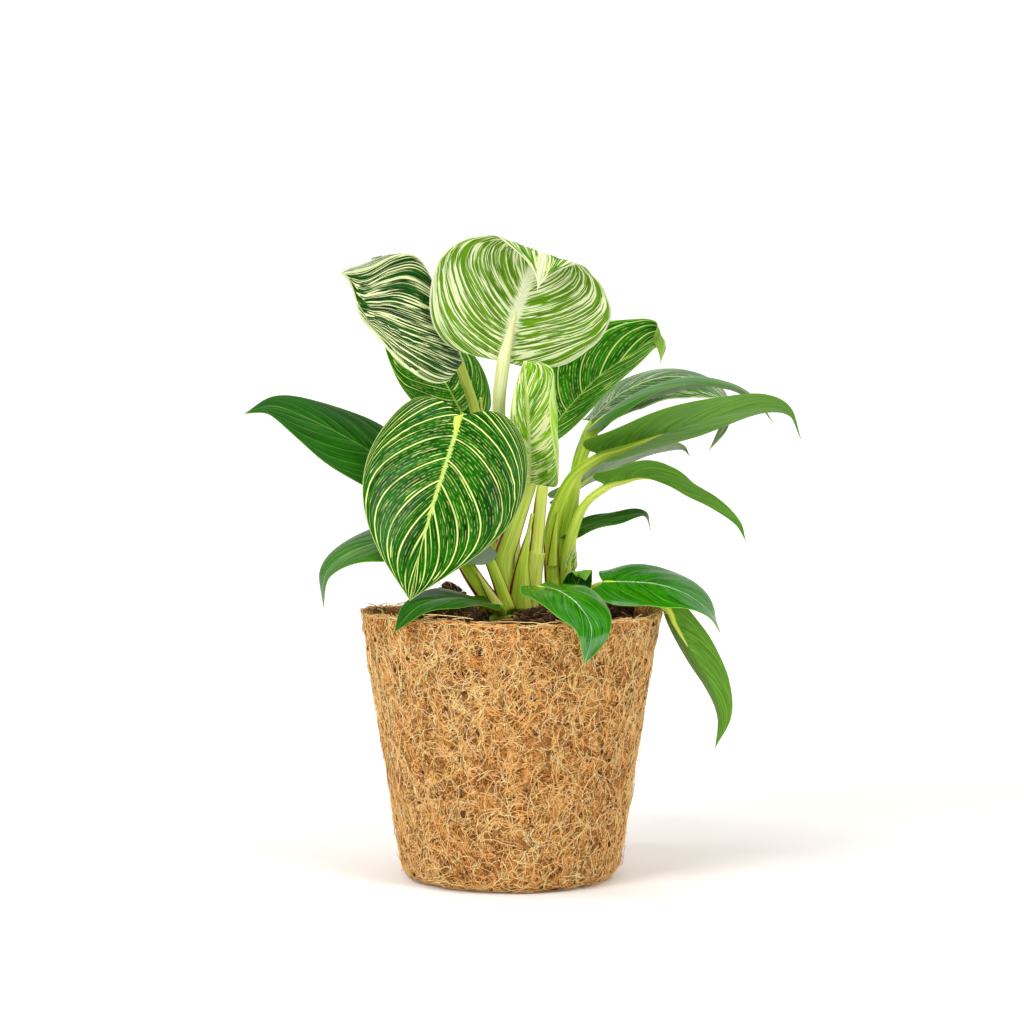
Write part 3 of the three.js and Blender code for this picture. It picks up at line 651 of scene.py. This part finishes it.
class Path:
    """A smooth curve through points, read by the distance along it."""

    SAMPLES = 600

    def __init__(self, points):
        knots = np.array(points, float)
        first = 2 * knots[0] - knots[1]
        last = 2 * knots[-1] - knots[-2]
        knots = np.vstack([first, knots, last])
        spans = len(points) - 1
        turn = np.linspace(0, spans, self.SAMPLES)
        span = np.minimum(turn.astype(int), spans - 1)
        u = (turn - span)[:, None]
        p0, p1, p2, p3 = (knots[span + i] for i in range(4))
        m1 = 0.5 * (p2 - p0)
        m2 = 0.5 * (p3 - p1)
        bend = 3 * (p2 - p1) - 2 * m1 - m2
        twist = 2 * (p1 - p2) + m1 + m2
        self.line = p1 + m1 * u + bend * u**2 + twist * u**3
        steps = np.linalg.norm(np.diff(self.line, axis=0), axis=1)
        self.places = np.concatenate([[0], np.cumsum(steps)])
        self.length = self.places[-1]

    def at(self, distance):
        distance = np.clip(distance, 0, self.length)
        return np.array([np.interp(distance, self.places, self.line[:, k]) for k in range(3)])

    def direction(self, distance):
        reach = self.length / 200
        distance = np.clip(distance, reach, self.length - reach)
        return unit(self.at(distance + reach) - self.at(distance - reach))


def unit(vector):
    return vector / np.linalg.norm(vector)


# Leaves


def of_half(value, hand):
    """A value that is given once for both halves, or as a pair for the left and the right half."""
    if isinstance(value, tuple):
        return value[0 if hand < 0 else 1]
    return value


def margin_point(share, length, half, leaf, hand):
    """The margin from the back of the lobe (0) past the widest place to the tip (1)."""
    widest = of_half(leaf.get("widest", WIDEST), hand) * length
    if share <= LOBE_SHARE:
        turn = share / LOBE_SHARE * math.pi / 2
        along = widest - (widest + of_half(leaf["lobe"], hand)) * math.cos(turn)
        return along, half * (LOBE_PLACE + (1 - LOBE_PLACE) * math.sin(turn))
    reach = ((share - LOBE_SHARE) / (1 - LOBE_SHARE)) ** 0.9
    along = widest + (length - widest) * reach
    return along, half * (1 - reach**TIP_BEND) ** of_half(leaf.get("taper", TAPER), hand)


def row_point(row, across, length, half, leaf, hand):
    """A row's point on the flat blade: out of the midrib sideways, then on to the margin."""
    if row == 0:
        lobe = of_half(leaf["lobe"], hand)
        return -lobe * math.sin(across * math.pi / 2), half * LOBE_PLACE * across
    along, out = margin_point(row, length, half, leaf, hand)
    start = length * row**TIP_BEND
    bend = start + ROW_SWEEP[0] * (along - start)
    first = (1 - across) ** 2
    second = 2 * across * (1 - across)
    third = across**2
    return first * start + second * bend + third * along, (second * ROW_SWEEP[1] + third) * out


def vein_sweep(out, start, haste):
    """How far towards the tip a vein has come, by how far out it is and where it started."""
    rise = 1.6 - 1.3 * np.clip(start, 0, 1)
    lag = haste * (0.2 + 4.2 * np.clip(start, 0, 1) ** 2)
    return 1 - (1 - out**rise) ** lag


def vein_start(along, out, haste):
    """Where the vein through a point left the midrib, as a share of it. Veins of the lobes leave
    the petiole's end and have negative values."""
    out = np.clip(out, 0, 0.985)
    low, high = np.zeros_like(along), np.ones_like(along)
    for _ in range(24):
        middle = (low + high) / 2
        ahead = middle + (1 - middle) * vein_sweep(out, middle, haste) > along
        high = np.where(ahead, middle, high)
        low = np.where(ahead, low, middle)
    sweep = vein_sweep(out, 0.0, haste)
    behind = (along - sweep) / (1 - sweep) / (1 - np.exp(-out / 0.15) + 0.02)
    return np.where(along < sweep, np.maximum(behind, -1.2), low)


class Blade:
    """Places a point of one half of the flat blade in space."""

    def __init__(self, leaf):
        self.leaf = leaf
        self.path = Path(leaf["spine"])
        self.length = self.path.length
        self.side_base = np.array(leaf["side"], float)
        self.side_tip = np.array(leaf.get("side_tip", leaf["side"]), float)
        self.half = {}
        self.margin = {}
        for hand in (-1, 1):
            half = leaf["width"] / 2 * of_half(leaf.get("halves", 1), hand)
            self.half[hand] = half
            points = [margin_point(share, self.length, half, leaf, hand)
                      for share in np.linspace(0, 1, 300)]
            self.margin[hand] = np.array(points).T

    def frame(self, along):
        on_rib = min(max(along, 0), self.length)
        forward = self.path.direction(on_rib)
        point = self.path.at(on_rib) + forward * (along - on_rib)
        side = self.side_base + (self.side_tip - self.side_base) * on_rib / self.length
        if not self.leaf.get("skewed"):
            side = side - forward * side.dot(forward)
        side = unit(side)
        return point, side, unit(np.cross(side, forward))

    def place(self, along, out, hand, wave=0):
        point, side, up = self.frame(along)
        rise = math.radians(of_half(self.leaf["fold"], hand))
        curl = math.radians(of_half(self.leaf.get("cup", CUP), hand)) / self.half[hand]
        reach = (math.sin(rise + curl * out) - math.sin(rise)) / curl
        lift = (math.cos(rise) - math.cos(rise + curl * out)) / curl
        return point + side * (hand * reach) + up * (lift + wave)

    def veins(self, along, out, hand):
        """For arrays of points: the share across, the vein's place (mm) and how much closer the
        veins run there than at the midrib."""
        def place(x, y):
            edge = np.interp(x, *self.margin[hand])
            across = y / np.maximum(edge, 0.2)
            return vein_start(x / self.length, across, self.leaf.get("haste", 1)) * self.length

        edge = np.interp(along, *self.margin[hand])
        across = np.clip(out / np.maximum(edge, 0.2), 0, 1)
        here = place(along, out)
        step = 0.3
        forward = (place(along + step, out) - here) / step
        sideways = (here - place(along, np.maximum(out - step, 0))) / step
        return across, here, np.clip(np.hypot(forward, sideways), 0.7, 12)


def blade_sheet(leaf, rows, offset):
    """The blade without thickness: its points, faces, outline and what the finish reads."""
    blade = Blade(leaf)
    points, flat, hands = [], [], []
    grid = {-1: [], 1: []}
    for row in range(rows):
        share = row / rows
        for hand in (-1, 1):
            line = []
            for across in ACROSS:
                if across == 0 and hand == 1:
                    line.append(grid[-1][row][0])
                    continue
                along, out = row_point(share, across, blade.length, blade.half[hand], leaf, hand)
                swing = math.sin(2 * math.pi * MARGIN_WAVES * share + MARGIN_PHASE[hand])
                wave = leaf.get("wave", 1) * swing * across**2 * (1 - share)
                points.append(blade.place(along, out, hand, wave))
                flat.append((along, out, share, across))
                hands.append(hand)
                line.append(len(points) - 1)
            grid[hand].append(line)
    points.append(blade.place(blade.length, 0, 1))
    flat.append((blade.length, 0, 1, 0))
    hands.append(1)
    tip = len(points) - 1
    faces = []
    for hand in (-1, 1):
        for row in range(rows):
            low = grid[hand][row]
            high = grid[hand][row + 1] if row < rows - 1 else None
            for column in range(len(ACROSS) - 1):
                a, b = low[column], low[column + 1]
                corners = (a, b, tip) if high is None else (a, b, high[column + 1], high[column])
                faces.append(corners if hand > 0 else corners[::-1])
    outline = grid[1][0] + [line[-1] for line in grid[1][1:]] + [tip]
    outline += [line[-1] for line in reversed(grid[-1][1:])] + grid[-1][0][:0:-1]
    notes = blade_notes(blade, np.array(flat), np.array(hands), offset)
    return np.array(points), notes, faces, outline


def blade_notes(blade, flat, hands, offset):
    """What the finish and the relief read at each point of the blade, in columns."""
    along, out, row, across_row = flat.T
    notes = np.zeros((len(flat), 7))
    for hand in (-1, 1):
        own = hands == hand
        across, vein, closeness = blade.veins(along[own], out[own], hand)
        edge = np.interp(along[own], *blade.margin[hand]) - out[own]
        end = np.hypot(along[own] - blade.length, out[own])
        notes[own, 0] = vein + offset + HALF_OFFSET * hand
        notes[own, 1] = across
        notes[own, 2] = closeness
        notes[own, 3] = out[own]
        notes[own, 4] = np.clip(np.minimum(edge, end), 0, None)
        notes[own, 5] = np.clip(along[own] / blade.length, 0, 1)
    notes[:, 4] = np.where(across_row > 0.999, 0, notes[:, 4])
    notes[:, 6] = row
    return notes


def face_normals(points, faces):
    normals = np.zeros_like(points)
    for face in faces:
        normal = np.cross(points[face[1]] - points[face[0]], points[face[2]] - points[face[0]])
        for corner in face:
            normals[corner] += normal
    lengths = np.linalg.norm(normals, axis=1)[:, None]
    return normals / np.maximum(lengths, 1e-9)


def make_leaf(name, leaf, material, offset):
    """A closed blade with thin margins, quilted between its veins and ribbed underneath."""
    rows = WIDE_ROWS if leaf["width"] > WIDE_BLADE else NARROW_ROWS
    points, notes, faces, outline = blade_sheet(leaf, rows, offset)
    normals = face_normals(points, faces)
    vein, _, closeness, rib_gap, edge_gap, _, row = notes.T
    window = np.clip(rib_gap / 4, 0, 1) * np.clip(edge_gap / 4, 0, 1) / closeness**0.5
    quilt = QUILT * np.cos(2 * np.pi * vein / VEIN_STEP) * window
    quilt *= min(1, leaf["width"] / 60)
    half = BLADE_EDGE / 2 + (BLADE - BLADE_EDGE) / 2 * np.clip(edge_gap / 2.5, 0, 1)
    rib = RIB * (1 - row) * np.exp(-((rib_gap / RIB_WIDTH) ** 2)) * min(1, leaf["width"] / 35)
    upper = points + normals * (half - quilt - 0.25 * rib)[:, None]
    lower = points - normals * (half + quilt + rib)[:, None]
    count = len(points)
    walls = []
    for i, start in enumerate(outline):
        end = outline[(i + 1) % len(outline)]
        walls.append((start + count, end + count, end, start))
    under = [tuple(corner + count for corner in face[::-1]) for face in faces]
    both = np.vstack([notes, notes])
    return make_mesh(name, np.vstack([upper, lower]), faces + under + walls, material,
                     vein=both[:, :3], gaps=both[:, 3:6], under=np.repeat([0.0, 1.0], count))


# Stems


def tube(points, start_radius, end_radius, sides=STEM_SIDES, steps=STEM_STEPS, groove=STEM_GROOVE,
         neck=0):
    """A closed stem with a shallow groove: its points, faces, and share, turn and length. Its last
    neck millimetres thin out to a point."""
    path = Path(points)
    grown = 1 - neck / path.length
    forward = path.direction(0)
    normal = unit(np.cross(forward, (1, 0.2, 0.1)))
    rings, notes = [], []
    for step in range(steps + 1):
        share = step / steps
        centre = path.at(share * path.length)
        forward = path.direction(share * path.length)
        normal = unit(normal - forward * normal.dot(forward))
        across = np.cross(forward, normal)
        radius = start_radius + (end_radius - start_radius) * min(1, share / (TAPER_END * grown))
        radius *= 1 + 0.03 * math.sin(9 * share + start_radius)
        if share > grown:
            radius *= 1 - 0.85 * (share - grown) / (1 - grown)
        ring = []
        for k in range(sides):
            turn = 2 * math.pi * k / sides
            reach = radius * (1 - groove * math.exp(-((math.cos(turn / 2) / 0.3) ** 2)))
            ring.append(centre + (normal * math.cos(turn) + across * math.sin(turn)) * reach)
            notes.append((share, turn, share * path.length))
        rings.append(ring)
    points, faces = joined_rings(rings)
    return points, notes, faces


def make_shoot(name, shoot, material):
    points, notes, faces, blushes, pales = [], [], [], [], []

    def add(part, blush, pale):
        shift = len(points)
        points.extend(part[0])
        notes.extend(part[1])
        faces.extend(tuple(corner + shift for corner in face) for face in part[2])
        for share, turn, _ in part[1]:
            lines = max(math.cos(turn - 1.9), math.cos(turn - 4.3), 0) ** 24
            reach = min(1, max(0, 1.1 - share / blush) * 3) if blush else 0
            blushes.append(lines * reach)
            pales.append(pale)

    x, y = shoot["base"]
    ground = soil_height(x, y)
    foot = [(x, y, ground - STEM_DEPTH), (x, y, ground - GROUND_DEPTH), (x, y, ground + BASE_SHOWS)]
    add(tube(foot, shoot["radius"], shoot["radius"] - 0.6, 28, 12, 0), 0, 0.2)
    for leaf, path, radii, blush, pale in shoot["petioles"]:
        blade = Blade(LEAVES[leaf])
        neck = RIB_RUN * blade.length
        under_rib = []
        for share in (0, 0.35, 0.7, 1):
            point, _, up = blade.frame(share * neck)
            under_rib.append(tuple(point - up * radii[1] * 0.9 * (1 - 0.85 * share)))
        add(tube(path + under_rib, *radii, steps=44, neck=neck), blush, pale)
    for path, radii, blush, pale in shoot["sheaths"]:
        add(tube(path, *radii), blush, pale)
    return make_mesh(name, points, faces, material, stem=notes, blush=blushes, pale=pales)


# The pot and the soil


def wall_radius(z):
    return FOOT_RADIUS + (RIM_RADIUS - FOOT_RADIUS) * z / POT_HEIGHT


def rim_corner(angle):
    return math.exp(-(((angle - RIM_CORNER["angle"]) / RIM_CORNER["width"]) ** 2))


def uneven(x, y, z):
    """Moves a point of the wall as the uneven rim does."""
    angle = math.atan2(y, x)
    share = max(0, (z - (POT_HEIGHT - RIM_ZONE)) / RIM_ZONE) ** 2
    lift = RIM_WAVES["two"] * math.sin(2 * angle + 0.4) + RIM_WAVES["five"] * math.sin(5 * angle)
    lift += RIM_CORNER["lift"] * rim_corner(angle)
    flare = RIM_WAVES["three"] * math.sin(3 * angle + 1) + RIM_CORNER["flare"] * rim_corner(angle)
    radius = math.hypot(x, y)
    grown = (radius + flare * share) / radius if radius > 1 else 1
    return x * grown, y * grown, z + lift * share


def soil_height(x, y):
    height = SOIL_EDGE
    for (heap_x, heap_y), rise, spread in HEAPS:
        height += rise * math.exp(-((math.hypot(x - heap_x, y - heap_y) / spread) ** 2))
    return height + SOIL_RIPPLE * math.sin(0.31 * x + 1) * math.sin(0.27 * y)


def outer_profile(steps):
    """The pot's outer side from under the foot's edge to the rim."""
    slope = math.atan2(RIM_RADIUS - FOOT_RADIUS, POT_HEIGHT)
    edge = wall_radius(0) + FOOT_ROUND * math.tan(slope) - FOOT_ROUND / math.cos(slope)
    profile = []
    for i in range(9):
        turn = -math.pi / 2 + i / 8 * (math.pi / 2 - slope)
        profile.append((edge + FOOT_ROUND * math.cos(turn), FOOT_ROUND * (1 + math.sin(turn))))
    start = profile[-1][1]
    for i in range(1, steps + 1):
        z = start + (POT_HEIGHT - RIM_EDGE - start) * i / steps
        profile.append((wall_radius(z), z))
    return profile


def lathe(profile, sides):
    """Turns a profile into rings of points, moved by the uneven rim and by the rough coir."""
    rings = []
    for radius, z in profile:
        ring = []
        for flat_x, flat_y in circle(radius, sides):
            x, y, z_here = uneven(flat_x, flat_y, z)
            bump = noise.fractal(Vector((x, y, z_here)) * 0.45, 0.8, 2, 3) if z > 1 else 0
            grown = 1 + COIR_ROUGHNESS * bump / max(radius, 1)
            ring.append((x * grown, y * grown, z_here))
        rings.append(ring)
    return rings


def make_pot(material):
    rim = wall_radius(POT_HEIGHT)
    profile = [(2, 0), (20, 0), *outer_profile(POT_STEPS), (rim - RIM_EDGE, POT_HEIGHT)]
    profile += [(rim - WALL + RIM_EDGE, POT_HEIGHT), (rim - WALL, POT_HEIGHT - RIM_EDGE)]
    profile += [(wall_radius(z) - WALL, z) for z in (112, 109, 106, 100, 60, 20)]
    profile += [(30, FLOOR), (2, FLOOR)]
    points, faces = joined_rings(lathe(profile, POT_SIDES))
    places = [(math.atan2(y, x) * 60, z, 0) for x, y, z in points]
    return make_mesh("coir_pot", points, faces, material, wall=places)


def soil_levels(rings, sides):
    """The rough top of the soil, from its edge inwards."""
    edge = wall_radius(SOIL_EDGE) - WALL - 0.6
    levels = []
    for ring in range(rings, -1, -1):
        level = []
        for x, y in circle(0.4 + (edge - 0.4) * ring / rings, sides):
            crumb = SOIL_ROUGHNESS * noise.fractal(Vector((x, y, 3)) * 0.3, 0.7, 2, 4)
            level.append((x, y, soil_height(x, y) + crumb))
        levels.append(level)
    return levels


def make_soil(material):
    floor = [(2, FLOOR), (30, FLOOR), (42, 14), (wall_radius(90) - WALL - 0.4, 90)]
    levels = [[(x, y, z) for x, y in circle(radius, SOIL_SIDES)] for radius, z in floor]
    levels += soil_levels(SOIL_RINGS, SOIL_SIDES)
    return make_mesh("potting_soil", *joined_rings(levels), material)


def make_aerial_root(material):
    radius = AERIAL_ROOT["radius"]
    path = [(x, y, soil_height(x, y) + radius + ROOT_LIFT) for x, y in AERIAL_ROOT["path"]]
    points, _, faces = tube(path, radius, radius * 0.6, 12, 40, 0)
    return make_mesh("brown_root", points, faces, material)


# Fibres and crumbs, scattered by Geometry Nodes


class Scatter(Tree):
    """A Geometry Nodes tree with named inputs, run once on a surface and made a plain mesh."""

    SOCKETS = {float: "NodeSocketFloat", int: "NodeSocketInt"}

    def __init__(self, name, **values):
        super().__init__(bpy.data.node_groups.new(name, "GeometryNodeTree"))
        face = self.tree.interface
        face.new_socket("Surface", in_out="INPUT", socket_type="NodeSocketGeometry")
        face.new_socket("Geometry", in_out="OUTPUT", socket_type="NodeSocketGeometry")
        self.values = {}
        for label, value in values.items():
            kind = self.SOCKETS[type(value)]
            socket = face.new_socket(label, in_out="INPUT", socket_type=kind)
            self.values[socket.identifier] = value
        self.inputs = self.node("NodeGroupInput").outputs
        self.out = self.node("NodeGroupOutput")

    def random(self, kind, low, high, seed):
        least, most, out = {"FLOAT": (2, 3, 1), "FLOAT_VECTOR": (0, 1, 0), "INT": (4, 5, 2)}[kind]
        inputs = {"Seed": seed, least: low, most: high}
        return self.node("FunctionNodeRandomValue", {"data_type": kind}, inputs).outputs[out]

    def made_by(self, kind, inputs, settings=None):
        """The first output of a new node."""
        return self.node(kind, settings, inputs).outputs[0]

    def less(self, first, second):
        inputs = {0: first, 1: second}
        return self.made_by("ShaderNodeVectorMath", inputs, {"operation": "SUBTRACT"})

    def scaled(self, vector, scale):
        inputs = {0: vector, "Scale": scale}
        return self.made_by("ShaderNodeVectorMath", inputs, {"operation": "SCALE"})

    def spread(self):
        """Points all over the surface."""
        labels = {"Mesh": "Surface", "Density": "Density", "Seed": "Seed"}
        return self.node("GeometryNodeDistributePointsOnFaces", None,
                         {socket: self.inputs[label] for socket, label in labels.items()}).outputs

    def real(self, instances):
        return self.made_by("GeometryNodeRealizeInstances", {0: instances})

    def moved(self, geometry, **inputs):
        return self.made_by("GeometryNodeSetPosition", {"Geometry": geometry, **inputs})

    def shaken(self, scale, detail, reach):
        """A push that differs from place to place."""
        rough = self.node("ShaderNodeTexNoise", None,
                          {"Vector": self.position(), "Scale": scale, "Detail": detail})
        return self.scaled(self.less(rough.outputs["Color"], (0.5, 0.5, 0.5)), reach)

    def position(self):
        return self.made_by("GeometryNodeInputPosition", {})

    def run(self, name, surface, geometry, material):
        """Makes the geometry real on a surface, as a plain mesh of its own."""
        painted = self.node("GeometryNodeSetMaterial", None, {"Geometry": self.real(geometry)})
        painted.inputs["Material"].default_value = material
        self.feed(self.out.inputs[0], painted.outputs[0])
        carrier = put_in_scene(bpy.data.objects.new(name + "_carrier", surface.data))
        modifier = carrier.modifiers.new("scatter", "NODES")
        modifier.node_group = self.tree
        for identifier, value in self.values.items():
            modifier[identifier] = value
        graph = bpy.context.evaluated_depsgraph_get()
        mesh = bpy.data.meshes.new_from_object(carrier.evaluated_get(graph))
        carrier.modifiers.remove(modifier)
        bpy.data.objects.remove(carrier)
        mesh.name = name
        return smooth_piece(name, mesh)


# The arcs, in radians, that the fibres of a kind are bent into, and a full turn.
BENDS = {"wavy": (0.9, 1.8, 3.0, 4.4), "looped": (1.4, 2.6, 3.8, 5.4)}
TURN = 6.283
FIBRE_SIDES = 3


def scatter_fibres(name, surface, material, count, length, radius, curl, seed, steep, bends, steps):
    """Curly fibres that lie on a surface: count per square metre, sizes in metres."""
    tree = Scatter(name, Density=float(count), Length=length, Radius=radius, Curl=curl,
                   Steep=steep, Lowest=0.0004, Seed=seed)
    inputs = tree.inputs
    points = tree.spread()
    family = tree.node("GeometryNodeJoinGeometry")
    for sweep in BENDS[bends]:
        arc = tree.made_by("GeometryNodeCurveArc", {"Resolution": steps, "Radius": 1 / sweep,
                                                    "Start Angle": 0.0, "Sweep Angle": sweep})
        shape = tree.made_by("GeometryNodeGeometryToInstance", {0: arc})
        tree.tree.links.new(shape, family.inputs[0])
    spin = tree.random("FLOAT_VECTOR", (-0.12, -0.12, 0.0), (0.12, 0.12, TURN), 3)
    size = tree.math("MULTIPLY", tree.random("FLOAT", 0.45, 1.35, 5), inputs["Length"])
    turned = tree.made_by("FunctionNodeRotateRotation",
                          {0: points["Rotation"],
                           1: tree.made_by("FunctionNodeEulerToRotation", {0: spin})},
                          {"rotation_space": "LOCAL"})
    placed = tree.made_by("GeometryNodeInstanceOnPoints",
                          {"Points": points["Points"], "Instance": family.outputs[0],
                           "Pick Instance": True, "Rotation": turned, "Scale": size,
                           "Instance Index": tree.random("INT", 0, 3, 7)})
    toned = tree.made_by("GeometryNodeStoreNamedAttribute",
                         {"Geometry": placed, "Name": "tone",
                          "Value": tree.random("FLOAT", 0.0, 1.0, 11)},
                         {"data_type": "FLOAT", "domain": "INSTANCE"})
    bent = tree.moved(tree.real(toned), Offset=tree.shaken(170.0, 1.0, inputs["Curl"]))

    # The fibres are pulled flat onto the surface and held above the ground.
    near = tree.node("GeometryNodeProximity", {"target_element": "FACES"}, {0: inputs["Surface"]})
    gap = tree.less(tree.position(), near.outputs["Position"])
    pull = tree.math("SUBTRACT", inputs["Steep"], 1.0)
    laid = tree.moved(bent, Offset=tree.scaled(gap, pull))
    x, y, z = tree.split(tree.position())
    held = tree.moved(laid, Position=tree.vector(x, y, tree.larger(z, inputs["Lowest"])))
    ring = tree.made_by("GeometryNodeCurvePrimitiveCircle",
                        {"Resolution": FIBRE_SIDES, "Radius": inputs["Radius"]}, {"mode": "RADIUS"})
    solid = tree.made_by("GeometryNodeCurveToMesh",
                         {"Curve": held, "Profile Curve": ring, "Fill Caps": True})
    return tree.run(name, surface, solid, material)


def scatter_crumbs(name, surface, material, count, size, seed):
    """Lumps of soil that lie on a surface: count per square metre, size in metres."""
    tree = Scatter(name, Density=float(count), Size=size, Seed=seed)
    lump = tree.made_by("GeometryNodeMeshIcoSphere", {"Radius": 1.0, "Subdivisions": 2})
    spin = tree.random("FLOAT_VECTOR", (0.0, 0.0, 0.0), (TURN, TURN, TURN), 3)
    stretch = tree.random("FLOAT_VECTOR", (0.3, 0.4, 0.3), (1.4, 1.0, 0.8), 5)
    stretch = tree.scaled(stretch, tree.inputs["Size"])
    placed = tree.made_by("GeometryNodeInstanceOnPoints",
                          {"Points": tree.spread()["Points"], "Instance": lump,
                           "Rotation": spin, "Scale": stretch})
    rough = tree.moved(tree.real(placed), Offset=tree.shaken(900.0, 2.0, tree.inputs["Size"]))
    return tree.run(name, surface, rough, material)


def open_surface(name, rings):
    """A bare surface that pieces are scattered over. It is removed afterwards."""
    return bpy.data.objects.new(name, bare_mesh(name, *joined_rings(rings, closed=False)))


# The stage


CAMERA = {"place": (0.00065, -1.1, 0.2035), "pitch": 2.35, "lens": 89.3, "sensor": 36}

# Each light: where it hangs and its size in metres, and its power in watts.
LIGHTS = {
    "key_left": ((-0.85, -1.0, 1.05), (0.6, 0.6), 12),
    "key_right": ((0.95, -0.9, 0.95), (0.6, 0.6), 7),
    "top": ((0, 0.1, 1.5), (1.2, 1.2), 2.5),
    "strip": ((-0.12, -0.22, 1.1), (0.8, 0.1), 3.2),
}
MIDDLE = (0, 0, 0.14)
WORLD_COLOUR = (1, 0.985, 0.97, 1)
WORLD_STRENGTH = 0.36
BACKDROP = {"half": 6.0, "front": -2.5, "back": 2.2, "top": 5.5, "bend": 1.2, "steps": 24}


def add_camera():
    data = bpy.data.cameras.new("camera")
    data.sensor_width = CAMERA["sensor"]
    data.lens = CAMERA["lens"]
    camera = put_in_scene(bpy.data.objects.new("camera", data))
    camera.location = CAMERA["place"]
    camera.rotation_euler = (math.radians(90 - CAMERA["pitch"]), 0, 0)
    bpy.context.scene.camera = camera


def add_light(name, place, size, power):
    data = bpy.data.lights.new(name, "AREA")
    data.shape = "RECTANGLE"
    data.size, data.size_y = size
    data.energy = power
    light = put_in_scene(bpy.data.objects.new(name, data))
    light.location = place
    direction = Vector(MIDDLE) - light.location
    light.rotation_euler = direction.to_track_quat("-Z", "Y").to_euler()


def add_stage():
    """A pale floor that bends up into a wall, a little brighter towards the back."""
    finish = Finish("backdrop", Base_Color=paint((250, 247, 244)), Roughness=0.9,
                    Specular_IOR_Level=0.0, Emission_Strength=1.0)
    _, depth, _ = finish.split(finish.place())
    far = finish.step(depth, 0.15, 1.1)
    finish.wear(Emission_Color=finish.blend(far, (78, 78, 78), (186, 186, 186)))
    half, front, back, top, bend, steps = BACKDROP.values()
    profile = [(front, 0.0)]
    for i in range(steps + 1):
        turn = math.pi / 2 * i / steps
        profile.append((back - bend + bend * math.sin(turn), bend * (1 - math.cos(turn))))
    profile.append((back, top))
    points = [(side * half, y, z) for y, z in profile for side in (-1, 1)]
    faces = [(2 * i, 2 * i + 1, 2 * i + 3, 2 * i + 2) for i in range(len(profile) - 1)]
    mesh = bare_mesh("backdrop", points, faces, scale=1)
    smooth_piece("backdrop", mesh, finish.material)


def add_lighting():
    world = bpy.data.worlds.new("studio")
    world.use_nodes = True
    background = world.node_tree.nodes["Background"].inputs
    background["Color"].default_value = WORLD_COLOUR
    background["Strength"].default_value = WORLD_STRENGTH
    bpy.context.scene.world = world
    for name, light in LIGHTS.items():
        add_light(name, *light)
    bpy.context.scene.view_settings.view_transform = "Standard"


# Everything together

add_camera()

leaf_finishes = {look: leaf_finish("leaf_" + look, words) for look, words in LOOKS.items()}
for index, (name, leaf) in enumerate(LEAVES.items()):
    blade = make_leaf("blade_" + name, leaf, leaf_finishes[leaf["look"]], VEIN_OFFSET * index)
    leaf_slot = "striped_leaf" if leaf["look"] in STRIPED_LOOKS else "dark_leaf"
    put_on_frame(blade, leaf_slot, "leaf_" + name)

stem_skin = stem_finish()
for name, shoot in SHOOTS.items():
    put_on_frame(make_shoot("stems_" + name, shoot, stem_skin), "stem", "shoot_" + name)

put_on_frame(make_pot(coir_finish()), "coir", "pot")
soil_skin = soil_finish("soil_crumbs", (22, 14, 8), (98, 66, 42))
bark_skin = soil_finish("bark", (40, 22, 12), (120, 80, 48))
root_skin = soil_finish("root_bark", (60, 34, 20), (140, 92, 60))
put_on_frame(make_soil(soil_skin), "soil", "soil")
put_on_frame(make_aerial_root(root_skin), "root", "aerial_root")

tan_fibre = fibre_finish("coir_fibre", (66, 28, 6), (255, 184, 94), (255, 246, 180))
pale_fibre = fibre_finish("coir_curl", (234, 158, 84), (255, 214, 140), (255, 238, 186))
soil_fibre = fibre_finish("soil_fibre", (70, 42, 20), (164, 114, 66), (226, 184, 130))
wall = open_surface("pot_wall", lathe(outer_profile(POT_STEPS), SCATTER_SIDES))
rim = open_surface("pot_rim", lathe([(RIM_RADIUS - 0.4, 112), (RIM_RADIUS - 0.2, POT_HEIGHT),
                                     (RIM_RADIUS - 3, POT_HEIGHT), (RIM_RADIUS - 3.4, 111)],
                                    SCATTER_SIDES))
soil_top = open_surface("soil_top", soil_levels(24, 90))

# Fibres: surface, finish, count, length, radius, curl, seed, steepness, bends, steps along.
# Crumbs: surface, finish, count, size, seed.
SCATTERED = {
    "coir_fibres": (wall, tan_fibre, 140000, 0.010, 0.00019, 0.004, 1, 0.1, "wavy", 6),
    "coir_threads": (wall, tan_fibre, 110000, 0.013, 0.00015, 0.005, 4, 0.2, "wavy", 6),
    "coir_curls": (wall, pale_fibre, 36000, 0.026, 0.00017, 0.005, 2, 0.16, "looped", 12),
    "rim_fibres": (rim, tan_fibre, 380000, 0.0055, 0.00014, 0.006, 3, 0.4, "wavy", 6),
    "bark_flecks": (wall, bark_skin, 1600, 0.0013, 9),
    "soil_threads": (soil_top, soil_fibre, 140000, 0.009, 0.00017, 0.010, 5, 0.3, "wavy", 6),
    "soil_lumps": (soil_top, soil_skin, 45000, 0.0016, 6),
    "bark_bits": (soil_top, bark_skin, 14000, 0.0026, 8),
}
CRUMBS = ("bark_flecks", "soil_lumps", "bark_bits")
for name, row in SCATTERED.items():
    scatter = scatter_crumbs if name in CRUMBS else scatter_fibres
    slot, node = ("soil", "soil") if row[0] == soil_top else ("coir", "pot")
    put_on_frame(scatter(name, *row), slot, node)

for scrap in (wall, rim, soil_top):
    bpy.data.objects.remove(scrap)

add_stage()
add_lighting()

bpy.context.view_layer.update()
